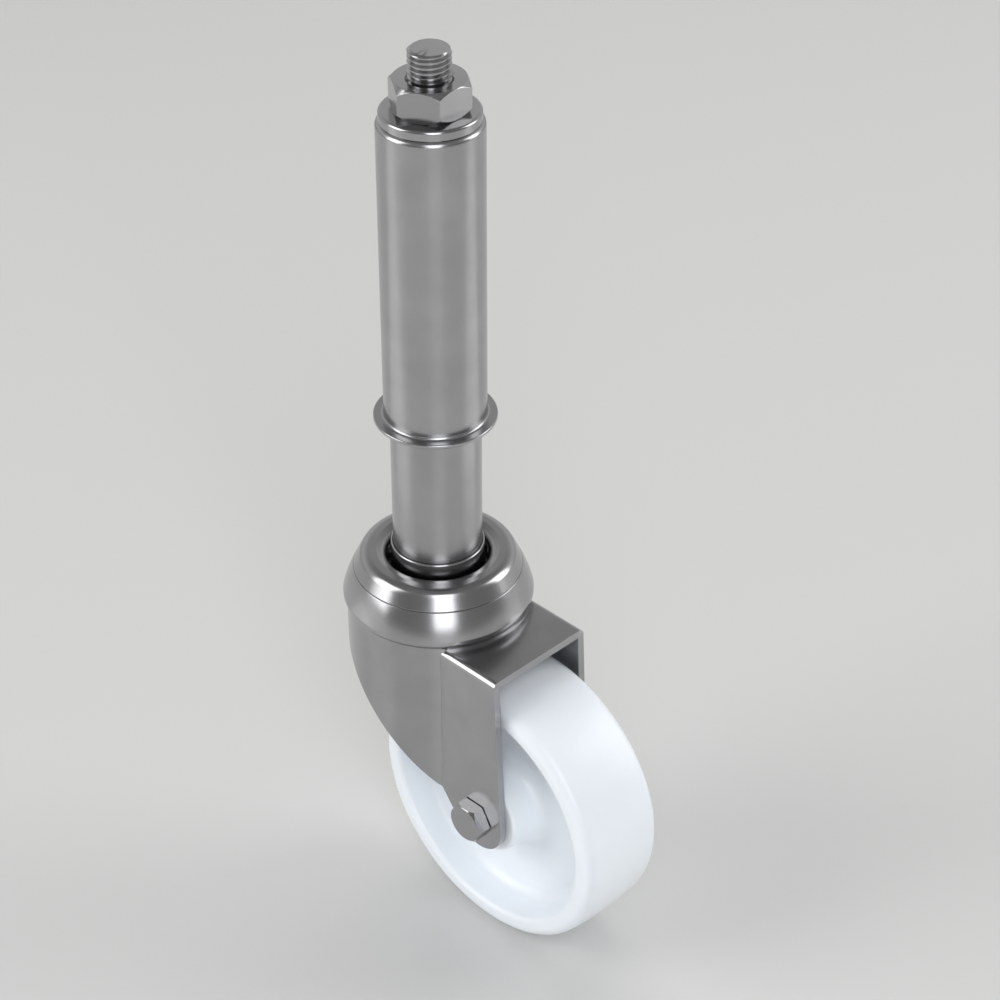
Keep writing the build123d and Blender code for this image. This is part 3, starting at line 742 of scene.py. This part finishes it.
class CASTOR_OT_stud_group(bpy.types.Operator):
    """Threaded stud with its cap washer, top nut and lock nut"""

    bl_idname = "castor.stud_group"
    bl_label = "Stud, washer and nuts"

    def execute(self, context):
        sizes = context.scene.castor_column
        hole, rim, edge, hole_edge = sizes.washer_hole, washer_high.x, 0.2 * MM, 0.1 * MM
        section = rounded(
            [
                (hole, washer_low.z, hole_edge),
                (rim, washer_low.z, edge),
                (rim, washer_high.z, sizes.washer_edge),
                (hole, washer_high.z, edge),
            ]
        )
        mesh = turned_mesh(section)
        place("washer_under_nut", mesh, TURNED, "leg_sleeve_body", "cap_washer")

        radius, thread = sizes.stud_radius, sizes.stud_thread
        bore = radius + CLEARANCE
        big, thin = sizes.nut_flats / 2, sizes.lock_nut_flats / 2
        # Each nut: its name, node, half width, ends, turn, countersink, and if its low corners are chamfered
        for name, node, apothem, low, high, turn, sink, both in (
            ("stud_nut", "top_nut", big, nut_low.z, nut_high.z, sizes.nut_turn, sizes.nut_sink, True),
            ("stud_thin_nut", "stud_lock_nut", thin, lock_low.z, lock_high.z, 0.0, CLEARANCE, False),
        ):
            rings = hex_rings(apothem, sizes.nut_face_inset, low, high, both)
            rings = [(bore, low + sink), (bore + sink, low), *rings, (bore + sink, high), (bore, high - sink)]
            mesh = turned_mesh(rings, SMALL_SIDES, turn)
            place(name, mesh, TURNED, "column", node, 0.12 * MM)

        low, high = stud_low.z + thread, stud_high.z - thread
        rings = [(0.0, low), (radius, low), (radius, high), (0.0, high)]
        shank = turned_mesh(rings, SMALL_SIDES, closed=False)
        ends = [threaded_rod(radius, sizes.stud_pitch, z, z + thread, STUD_SIDES) for z in (stud_low.z, high)]
        place("threaded_stud", joined([shank, *ends]), TURNED, "column", "stud")
        return {"FINISHED"}


class CASTOR_OT_column(bpy.types.Operator):
    """Sliding tube with its guide bush and the seat for the spring"""

    bl_idname = "castor.column"
    bl_label = "Sliding column"

    def execute(self, context):
        sizes = context.scene.castor_column
        edge, lead = 0.3 * MM, 0.8 * MM
        bore = tube_high.x - sizes.tube_wall
        mesh = turned_mesh(ring_section(bore, tube_high.x, tube_low.z, tube_high.z, edge))
        place("sliding_tube", mesh, DRAWN, "column", "inner_tube")

        section = ring_section(sizes.seat_hole, seat_high.x, seat_low.z, seat_high.z, 0.25 * MM)
        mesh = turned_mesh(section, SMALL_SIDES)
        place("spring_ring", mesh, TURNED, "column", "spring_seat")

        hole, spigot, rim, step = sizes.bush_hole, bore - 0.05 * MM, bush_high.x, tube_high.z
        section = rounded(
            [
                (hole, bush_low.z, edge),
                (spigot, bush_low.z, lead),
                (spigot, step, 0.0),
                (rim, step, edge),
                (rim, bush_high.z, edge),
                (hole, bush_high.z, edge),
            ]
        )
        mesh = turned_mesh(section, SMALL_SIDES)
        place("slide_bush", mesh, ACETAL, "column", "guide_bush")
        return {"FINISHED"}


class CASTOR_OT_spring(bpy.types.Operator):
    """Coil spring of round wire"""

    bl_idname = "castor.spring"
    bl_label = "Spring"

    def execute(self, context):
        sizes = context.scene.castor_column
        values = {
            "Coil radius": sizes.coil,
            "Wire radius": sizes.wire / 2,
            "End pitch": sizes.wire + 0.06 * MM,
            "Low end": spring_low.z,
            "High end": spring_high.z,
            "Active turns": float(sizes.spring_turns),
            "Ground share": 0.5,
        }
        mesh = grown(spring_tree(finish_of(SPRING_WIRE)), values)
        name, body = "round_wire_spring", "leg_sleeve_body"
        piece = place(name, mesh, SPRING_WIRE, body, "coil_spring")
        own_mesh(piece)
        return {"FINISHED"}


class CASTOR_OT_races(bpy.types.Operator):
    """Race block, race plate and the two rows of balls between them"""

    bl_idname = "castor.races"
    bl_label = "Races and balls"

    def execute(self, context):
        sizes = context.scene.castor_head
        ball, circle = sizes.ball / 2, sizes.ball_circle / 2
        groove, depth = ball + sizes.race_gap, sizes.groove_depth
        half = math.acos((groove - depth) / groove)
        disc_top = upper_ball_z - groove + depth
        disc_bottom = lower_ball_z + groove - depth

        def groove_arc(height, middle):
            """Points of a groove under a row of balls at a height, about its middle's angle."""
            return arc((circle, height), groove, middle - half, middle + half, GROOVE_STEPS)

        disc, neck, collar = sizes.disc, sizes.neck, sizes.collar
        socket, bore = tube_high.x + CLEARANCE, sizes.block_bore
        disc_edge, hole_edge, edge, rim_edge = 0.1 * MM, 0.14 * MM, 0.3 * MM, 0.2 * MM
        section = rounded(
            [
                (socket, block_high.z, hole_edge),
                (collar, block_high.z, sizes.collar_edge),
                (collar, disc_top, edge),
                *groove_arc(upper_ball_z, -QUARTER),
                (disc, disc_top, disc_edge),
                (disc, disc_bottom, disc_edge),
                *groove_arc(lower_ball_z, QUARTER),
                (neck, disc_bottom, edge),
                (neck, block_low.z, 0.4 * MM),
                (bore, block_low.z, edge),
                (bore, tube_low.z, 0.0),
                (socket, tube_low.z, 0.0),
            ]
        )
        place("turned_race_block", turned_mesh(section), TURNED, "column", "race_block")

        hole, rim = sizes.plate_hole, plate_high.x
        section = rounded(
            [
                (hole, plate_low.z, rim_edge),
                (rim, plate_low.z, rim_edge),
                (rim, plate_high.z, edge),
                *reversed(groove_arc(lower_ball_z, -QUARTER)),
                (hole, plate_high.z, edge),
            ]
        )
        place("grooved_race_plate", turned_mesh(section), TURNED, "swivel_head", "race_plate")

        tree = ball_tree(finish_of(LAPPED))
        for row, height in (("upper", upper_ball_z), ("lower", lower_ball_z)):
            values = {"Ball radius": ball, "Circle radius": circle, "Height": height, "Count": sizes.balls}
            mesh = grown(tree, values)
            place(f"{row}_row", mesh, LAPPED, f"{row}_ball_row", f"{row}_balls")
        return {"FINISHED"}


class CASTOR_OT_head(bpy.types.Operator):
    """Pressed head cover and swivel cup"""

    bl_idname = "castor.head"
    bl_label = "Head cover and cup"

    def execute(self, context):
        sizes = context.scene.castor_head
        wall, seam_edge, edge, gap = sizes.sheet, sizes.seam_edge, 0.2 * MM, 0.05 * MM
        crest_bend, cone_bend, flat_bend, root_bend = 1.6 * MM, 1.4 * MM, 0.5 * MM, 0.3 * MM
        across = wall / math.cos(sizes.cone_angle)
        crest_z, seam_z, inside_z = cover_high.z, cup_high.z, cover_high.z - wall
        crest_start, crest_end = sizes.crest_start, sizes.crest_end

        def cone(z):
            """Radius of the cover's cone at a height."""
            return crest_end + (crest_z - z) * math.tan(sizes.cone_angle)

        rim = cone(seam_z)
        skirt = rim - across - gap
        step_z = seam_z + wall
        # The lip turns down from just below the crest, and its back meets the sheet a little lower
        hole, lip_back = sizes.cover_hole, sizes.cover_hole + 0.6 * MM
        lip_z = crest_z - 0.6 * MM
        lip_end, lip_root = lip_z - sizes.lip_depth, lip_z - 1.65 * MM
        section = rounded(
            [
                (hole, lip_end, edge),
                (hole, lip_z, sizes.lip),
                (crest_start, crest_z, crest_bend),
                (crest_end, crest_z, sizes.crest),
                (rim, seam_z, seam_edge),
                (skirt, seam_z, 0.0),
                (skirt, cover_low.z, edge),
                (skirt - wall, cover_low.z, edge),
                (skirt - wall, step_z, 0.0),
                (cone(step_z) - across, step_z, 0.0),
                (cone(inside_z) - across, inside_z, cone_bend),
                (crest_start - 0.5 * MM, inside_z, flat_bend),
                (lip_back, lip_root, root_bend),
                (lip_back, lip_end, edge),
            ]
        )
        place("pressed_cover", turned_mesh(section), PRESSED, "swivel_head", "head_cover")

        foot, foot_z, widest, widest_z = sizes.cup_foot, cup_low.z, cup_high.x, cup_low.z + sizes.cup_height
        # Where the sheet starts to roll in, and over what part of the way to its foot
        roll_start, roll_span = 0.25, 0.6

        def wall_line(inset):
            """The cup's wall from its mouth over the bulge to its widest edge, and in to its foot."""
            points = []
            for step in range(CUP_WALL_STEPS + 1):
                share = step / CUP_WALL_STEPS
                bulge = sizes.cup_bulge * 4 * share * (1 - share)
                x = rim + (widest - rim) * share - inset + bulge
                points.append((x, seam_z + (widest_z - seam_z) * share))
            # The sheet drops straight from the edge, rolls in half way and stands straight on the fork
            for step in range(1, CUP_FOOT_STEPS + 1):
                share = step / CUP_FOOT_STEPS
                rolled = min(max((share - roll_start) / roll_span, 0.0), 1.0)
                inward = (widest - foot) * rolled**2 * (3 - 2 * rolled)
                points.append((widest - inset - inward, widest_z + (foot_z - widest_z) * share))
            return points

        outside = [(x, y, 0.0) for x, y in wall_line(0.0)]
        for index, radius in ((0, seam_edge), (CUP_WALL_STEPS, sizes.cup_edge)):
            outside[index] = (*outside[index][:2], radius)
        inside = [(x, y, 0.0) for x, y in reversed(wall_line(across))]
        mesh = turned_mesh(rounded(outside + inside))
        place("pressed_cup", mesh, PRESSED, "swivel_head", "swivel_cup")
        return {"FINISHED"}


class CASTOR_OT_fork(bpy.types.Operator):
    """Pressed fork: one sheet with a round back, a flat top and two folded cheeks"""

    bl_idname = "castor.fork"
    bl_label = "Fork"

    def execute(self, context):
        sizes = context.scene.castor_fork
        sheet, drum, fold = sizes.sheet, sizes.drum, sizes.fold
        cheek, hole = sizes.cheek, sizes.hole
        inner_drum, inner_cheek = drum - sheet, cheek - sheet
        top = fork_high.z
        under = top - sheet
        fold_z, fold_y = top - fold, cheek - fold
        axle = wheel_centre
        # The rear cut is part of a circle through three points, and the rear edge runs straight on from it
        rear_low = Vector((16.6 * MM, top - 43.76 * MM))
        rear_middle = Vector((1.86 * MM, top - 26.6 * MM))
        rear_top = Vector((-drum - sheet, top - 3.7 * MM))
        a, b = rear_middle - rear_top, rear_low - rear_top
        spread = 2 * a.cross(b)
        cut_x = rear_top.x + (b.y * a.dot(a) - a.y * b.dot(b)) / spread
        cut_z = rear_top.y + (a.x * b.dot(b) - b.x * a.dot(a)) / spread
        cut_r = (rear_top - Vector((cut_x, cut_z))).length

        def cut(x):
            """Height of the rear cut at a distance along X."""
            if x >= rear_low.x:
                return rear_low.y - (x - rear_low.x) * REAR_SLOPE
            return cut_z + math.sqrt(cut_r**2 - (x - cut_x) ** 2)

        def front(z):
            """Distance of the leaning front edge from the swivel axis at a height."""
            return sizes.front + FRONT_LEAN * (top - z)

        drop = (sizes.front - rear_low.x + (top - rear_low.y) / REAR_SLOPE) / (1 / REAR_SLOPE - FRONT_LEAN)
        tip = (sizes.front + FRONT_LEAN * drop, top - drop, sizes.end_radius)
        crease, inner_crease = math.sqrt(drum**2 - cheek**2), math.sqrt(inner_drum**2 - inner_cheek**2)
        faces = []

        def face(*points):
            faces.append([tuple(point) for point in points])

        def strip(line, y, v):
            """Faces across the sheet along a line of points in the plane of the cheeks."""
            for (x0, z0), (x1, z1) in zip(line, line[1:]):
                face((x0, y, z0), (x1, y, z1), (x1, v, z1), (x0, v, z0))

        def plan(radius, x, y):
            """Plan points of a drum wall, from the near crease round the back to the far one."""
            first = math.atan2(y, x)
            step = (TURN - 2 * first) / DRUM_STEPS
            angles = [-first - step * index for index in range(DRUM_STEPS + 1)]
            return [(radius * math.cos(angle), radius * math.sin(angle)) for angle in angles]

        # Drum walls and the cut edge under them
        outer, inner = plan(drum, crease, cheek), plan(inner_drum, inner_crease, inner_cheek)
        for i in range(DRUM_STEPS):
            (x0, y0), (x1, y1) = outer[i], outer[i + 1]
            (u0, v0), (u1, v1) = inner[i], inner[i + 1]
            low = [(x0, y0, cut(x0)), (x1, y1, cut(x1))]
            inner_low = [(u1, v1, cut(u1)), (u0, v0, cut(u0))]
            near_fold = [(x0, y0, fold_z)] if i == 0 else []
            far_fold = [(x1, y1, fold_z)] if i == DRUM_STEPS - 1 else []
            face(*low, *far_fold, (x1, y1, top), (x0, y0, top), *near_fold)
            face(*inner_low, (u0, v0, under), (u1, v1, under))
            face(*low, *inner_low)
        ceiling = [(x, y, under) for x, y in inner]
        corners = [(front(under), side * inner_cheek, under) for side in (1, -1)]
        face(*ceiling, *corners)

        # The cheek's outline below its fold: down the rear edge, round the end and up the front edge
        rear = (rear_low.x + (rear_low.y - axle.z) / REAR_SLOPE, axle.z)
        ahead_of_axle = (front(axle.z), axle.z)
        end = rounded([(*rear, 0.0), tip, (*ahead_of_axle, 0.0)])[2:-2]
        rim = [rear, *end, ahead_of_axle]
        angles = [math.pi * step / HOLE_STEPS for step in range(HOLE_STEPS + 1)]
        hole_top = [(axle.x - hole * math.cos(angle), axle.z + hole * math.sin(angle)) for angle in angles]
        hole_low = [(x, 2 * axle.z - z) for x, z in reversed(hole_top)]
        ridges = []
        for side in (-1, 1):
            y, v = side * cheek, side * inner_cheek
            for plane, x, z in ((y, crease, fold_z), (v, inner_crease, under)):
                upper = [(x, z), (x, cut(x)), rear, *hole_top, ahead_of_axle, (front(z), z)]
                face(*[(a, plane, b) for a, b in upper])
                face(*[(a, plane, b) for a, b in rim + hole_low])
            strip(rim, y, v)
            strip(hole_top + hole_low, y, v)
            rear_edge = [(crease, y, cut(crease)), (rear[0], y, axle.z)]
            face(*rear_edge, (rear[0], v, axle.z), (inner_crease, v, cut(inner_crease)))
            corner = (front(under), v, under)
            front_edge = [(ahead_of_axle[0], y, axle.z), (front(fold_z), y, fold_z)]
            face(*front_edge, corner, (ahead_of_axle[0], v, axle.z))
            # The fold, from the cheek's face up to the flat top, and the drum's wall beside it
            bend = []
            for step in range(FOLD_STEPS + 1):
                angle = QUARTER * step / FOLD_STEPS
                bend.append((side * (fold_y + fold * math.cos(angle)), fold_z + fold * math.sin(angle)))
            on_drum = [(math.sqrt(drum**2 - p**2), p, z) for p, z in bend]
            ahead = [(front(z), p, z) for p, z in bend]
            ridge = [(x, p, top) for x, p, _ in on_drum]
            for k in range(FOLD_STEPS):
                face(on_drum[k], on_drum[k + 1], ahead[k + 1], ahead[k])
                face(ahead[k], ahead[k + 1], corner)
                face(on_drum[k], on_drum[k + 1], ridge[k + 1], ridge[k])
            ridges.append(ridge)
        near, far = ridges
        crown = [(x, y, top) for x, y in outer[1:-1]]
        lip = [(front(top), fold_y, top), (front(top), -fold_y, top)]
        face(*reversed(near), *crown, *far, *lip)
        face(*reversed(lip), *corners)

        vertices, indexed = [], []
        for points in faces:
            indexed.append(tuple(range(len(vertices), len(vertices) + len(points))))
            vertices += points
        mesh = mesh_from(vertices, indexed)
        place("pressed_fork", mesh, PRESSED, "swivel_head", "fork", sizes.edge)
        return {"FINISHED"}


class CASTOR_OT_axle(bpy.types.Operator):
    """Axle bolt, spacer tube, lock nut and its nylon ring"""

    bl_idname = "castor.axle"
    bl_label = "Axle"

    def execute(self, context):
        sizes = context.scene.castor_wheel
        cheek = context.scene.castor_fork.cheek
        near = Matrix.Translation(wheel_centre + Vector((0, -cheek, 0))) @ Matrix.Rotation(QUARTER, 4, "X")
        far = Matrix.Translation(wheel_centre + Vector((0, cheek, 0))) @ Matrix.Rotation(-QUARTER, 4, "X")
        radius, length_under_head, thread = sizes.bolt_radius, sizes.bolt_length, sizes.bolt_thread
        inset, face_radius, face = 0.1 * MM, 4.6 * MM, 0.25 * MM
        tip, start = -length_under_head, thread - length_under_head
        hexagonal = hex_rings(sizes.bolt_flats / 2, inset, face, sizes.bolt_head, False)
        rings = [(0.0, start), (radius, start), (radius, 0.0), (face_radius, 0.0), (face_radius, face)]
        head_turn = math.radians(0.5)
        head = turned_mesh([*rings, *hexagonal, (0.0, sizes.bolt_head)], SMALL_SIDES, head_turn, closed=False)
        mesh = joined([head, threaded_rod(radius, sizes.bolt_pitch, tip, start, BOLT_SIDES)])
        mesh.transform(near)
        place("hexagon_axle_bolt", mesh, TURNED, "swivel_head", "axle_bolt")

        half = axle_tube_high.y
        mesh = turned_mesh(ring_section(sizes.spacer_bore, sizes.spacer, -half, half, 0.2 * MM), SMALL_SIDES)
        mesh.transform(Matrix.Translation(wheel_centre) @ Matrix.Rotation(-QUARTER, 4, "X"))
        place("axle_spacer", mesh, TURNED, "swivel_head", "axle_tube")

        # The lock nut's collar is turned over the nylon ring, which fills a groove inside it
        bore, insert = radius + CLEARANCE, sizes.insert
        flat, collar, tall = sizes.nut_flat, sizes.nut_collar, sizes.nut_height
        ring_low, ring_high = tall - 2.0 * MM, tall - 0.4 * MM
        crown = rounded(
            [
                (collar, flat, 0.0),
                (collar, tall, 0.7 * MM),
                (bore, tall, 0.15 * MM),
                (bore, ring_high, 0.1 * MM),
                (insert, ring_high, 0.0),
                (insert, ring_low, 0.0),
                (bore, ring_low, 0.0),
            ]
        )
        rings = [(bore, 0.0), *hex_rings(sizes.nut_flats / 2, inset, 0.0, flat, False), *crown]
        mesh = turned_mesh(rings, SMALL_SIDES)
        mesh.transform(far)
        place("axle_lock_nut", mesh, TURNED, "swivel_head", "axle_nut", 0.08 * MM)
        mesh = turned_mesh(ring_section(bore, insert, ring_low, ring_high, 0.08 * MM), SMALL_SIDES)
        mesh.transform(far)
        place("nylon_ring", mesh, NYLON, "swivel_head", "axle_nut_insert")
        return {"FINISHED"}


class CASTOR_OT_wheel(bpy.types.Operator):
    """Moulded wheel with its crowned tread, web and hub"""

    bl_idname = "castor.wheel"
    bl_label = "Wheel"

    def execute(self, context):
        sizes = context.scene.castor_wheel
        radius = (wheel_high.x - wheel_low.x) / 2
        half_hub, half_width, half_web = wheel_high.y, sizes.width / 2, sizes.web / 2
        edge = radius - sizes.crown
        mouth = edge - sizes.rim
        rim_root = mouth - (half_width - half_web) * math.tan(sizes.rim_draft)
        hub_root = sizes.hub + (half_hub - half_web) * math.tan(sizes.hub_draft)
        half = [
            (sizes.bore, half_hub, 0.3 * MM),
            (sizes.hub, half_hub, sizes.hub_edge),
            (hub_root, half_web, sizes.web_fillet),
            (rim_root, half_web, sizes.web_fillet),
            (mouth, half_width, sizes.rim_edge),
            (edge, half_width, sizes.shoulder),
        ]
        # The tread's crown is a parabola over the inner half of each side, and the shoulder leads up to it
        for share in (0.5, 0.625, 0.75, 0.875):
            half.append((edge + sizes.crown * (1 - (1 - share) ** 2), half_width * (1 - share), 0.0))
        section = half + [(radius, 0.0, 0.0)] + [(r, -y, fillet) for r, y, fillet in reversed(half)]
        mesh = turned_mesh(rounded(section), WHEEL_SIDES)
        mesh.transform(Matrix.Translation(wheel_centre) @ Matrix.Rotation(-QUARTER, 4, "X"))
        place("moulded_wheel", mesh, POLYAMIDE, "road_wheel", "wheel")
        return {"FINISHED"}


class CASTOR_OT_stage(bpy.types.Operator):
    """Pale floor, soft lamps and the camera"""

    bl_idname = "castor.stage"
    bl_label = "Stage"

    def execute(self, context):
        scene = context.scene
        span, level = 4.0, wheel_low.z
        floor_mesh = bpy.data.meshes.new("floor")
        corners = [(x * span, y * span, level) for x, y in ((-1, -1), (1, -1), (1, 1), (-1, 1))]
        floor_mesh.from_pydata(corners, [], [(0, 1, 2, 3)])
        floor = bpy.data.objects.new("floor", floor_mesh)
        scene.collection.objects.link(floor)
        # Lacquered board: matt, under a thin clear film that mirrors faintly
        material = bpy.data.materials.new("lacquered_board")
        material.use_nodes = True
        tree = material.node_tree
        tree.nodes.remove(tree.nodes["Principled BSDF"])
        matt = add(tree, "ShaderNodeBsdfDiffuse", {"Color": scene.castor_finish.floor[:]})
        gloss = add(tree, "ShaderNodeBsdfGlossy", {"Color": (1, 1, 1, 1), "Roughness": 0.15})
        both = add(tree, "ShaderNodeMixShader", (0.03, matt, gloss))
        fill(tree.nodes["Material Output"], {"Surface": both})
        floor_mesh.materials.append(material)

        # The room is pale low down behind the castor, and dimmer overhead and at the camera's side
        world = bpy.data.worlds.new("studio")
        world.use_nodes = True
        tree = world.node_tree
        way = add(tree, "ShaderNodeTexCoord").outputs["Generated"]
        rear = add(tree, "ShaderNodeVectorMath", (way, (-0.707, 0.707, 0.0)), operation="DOT_PRODUCT")
        rear = add(tree, MAP_RANGE, {"Value": rear.outputs["Value"], "From Min": -0.3, "From Max": 0.5})
        height = add(tree, "ShaderNodeSeparateXYZ", (way,)).outputs[2]
        low = add(tree, MAP_RANGE, {"Value": height, "From Min": 0.78, "From Max": 0.4})
        share = add(tree, MATH, (rear, low), operation="MULTIPLY")
        room = {0: share, 6: linear("#888888"), 7: linear("#D6D6D6")}
        tone = add(tree, "ShaderNodeMix", room, data_type="RGBA")
        fill(tree.nodes["Background"], {"Color": tone.outputs[2]})
        scene.world = world

        data = bpy.data.cameras.new("camera")
        data.lens, data.sensor_width = 90.61, 36.0
        data.clip_start, data.clip_end = 0.01, 20.0
        camera = bpy.data.objects.new("camera", data)
        scene.collection.objects.link(camera)
        camera.location = (0.36831, -0.34643, 0.33129)
        camera.rotation_mode = "QUATERNION"
        camera.rotation_quaternion = Vector((-1, 1, -1)).to_track_quat("-Z", "Y")
        scene.camera = camera

        def lamp(name, spot, turn, wide, high, power, tint=(1.0, 1.0, 1.0)):
            """An oblong lamp at a spot, turned by a quaternion, that the camera doesn't see."""
            data = bpy.data.lights.new(name, "AREA")
            data.shape, data.size, data.size_y, data.energy = "RECTANGLE", wide, high, power
            data.color = tint
            made = bpy.data.objects.new(name, data)
            scene.collection.objects.link(made)
            made.location = spot
            made.rotation_mode = "QUATERNION"
            made.rotation_quaternion = turn
            made.visible_camera = False
            return made

        middle = Vector((0.01, 0.0, -0.03))
        # How far off the lamps stand, and the bearing that the camera looks from, in degrees about +Z from +X
        distance, ahead = 1.3, -45
        white, cool = (1.0, 1.0, 1.0), (0.95, 0.965, 1.0)
        # Each lamp: its name, bearing from ahead, elevation, width, height, power, tint, and if gloss shows
        for name, bearing, elevation, wide, high, power, tint, seen in (
            ("key", 8, 27, 0.6, 1.25, 8.4, cool, True),
            ("left", -78, 24, 0.75, 1.1, 8.4, white, True),
            ("right", 100, 23, 0.6, 1.0, 5.6, white, True),
            ("top", 172, 58, 1.1, 1.1, 5.6, white, False),
        ):
            a, e = math.radians(ahead + bearing), math.radians(elevation)
            back = Vector((math.cos(a) * math.cos(e), math.sin(a) * math.cos(e), math.sin(e)))
            turn = (-back).to_track_quat("-Z", "Y")
            made = lamp(name, middle + back * distance, turn, wide, high, power, tint)
            made.visible_glossy = seen
        # A glowing card on the floor at each side shows in gloss alone, as a soft band on round flanks
        face_up = Euler((math.pi, 0, math.pi / 4)).to_quaternion()
        for name, aside in (("left_card", -0.2545), ("right_card", 0.2545)):
            card = lamp(name, (aside, aside, level + 2 * MM), face_up, 0.38, 0.16, 0.056)
            card.visible_diffuse = card.visible_transmission = False
        scene.view_settings.view_transform = "Standard"
        return {"FINISHED"}


class CASTOR_PT_pieces(bpy.types.Panel):
    """The castor's pieces and sizes in the 3D view's sidebar"""

    bl_idname = "CASTOR_PT_pieces"
    bl_label = "Spring castor"
    bl_space_type = "VIEW_3D"
    bl_region_type = "UI"
    bl_category = "Castor"

    def draw(self, context):
        for operator in OPERATORS:
            self.layout.operator(operator.bl_idname)
        for name, _ in GROUPS:
            box = self.layout.box()
            group = getattr(context.scene, name)
            for item in group.bl_rna.properties:
                if item.identifier not in ("rna_type", "name"):
                    box.prop(group, item.identifier)


OPERATORS = (
    CASTOR_OT_leg_sleeve,
    CASTOR_OT_stud_group,
    CASTOR_OT_column,
    CASTOR_OT_spring,
    CASTOR_OT_races,
    CASTOR_OT_head,
    CASTOR_OT_fork,
    CASTOR_OT_axle,
    CASTOR_OT_wheel,
    CASTOR_OT_stage,
)
GROUPS = (
    ("castor_column", CastorColumnSizes),
    ("castor_head", CastorHeadSizes),
    ("castor_fork", CastorForkSizes),
    ("castor_wheel", CastorWheelSizes),
    ("castor_finish", CastorFinish),
)


def register():
    for name, group in GROUPS:
        bpy.utils.register_class(group)
        setattr(bpy.types.Scene, name, bpy.props.PointerProperty(type=group))
    for item in (*OPERATORS, CASTOR_PT_pieces):
        bpy.utils.register_class(item)


def unregister():
    for item in (CASTOR_PT_pieces, *reversed(OPERATORS)):
        bpy.utils.unregister_class(item)
    for name, group in reversed(GROUPS):
        delattr(bpy.types.Scene, name)
        bpy.utils.unregister_class(group)


def main():
    """Registers the classes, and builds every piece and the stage."""
    register()
    for operator in OPERATORS:
        category, name = operator.bl_idname.split(".")
        getattr(getattr(bpy.ops, category), name)()


if __name__ == "__main__":
    main()
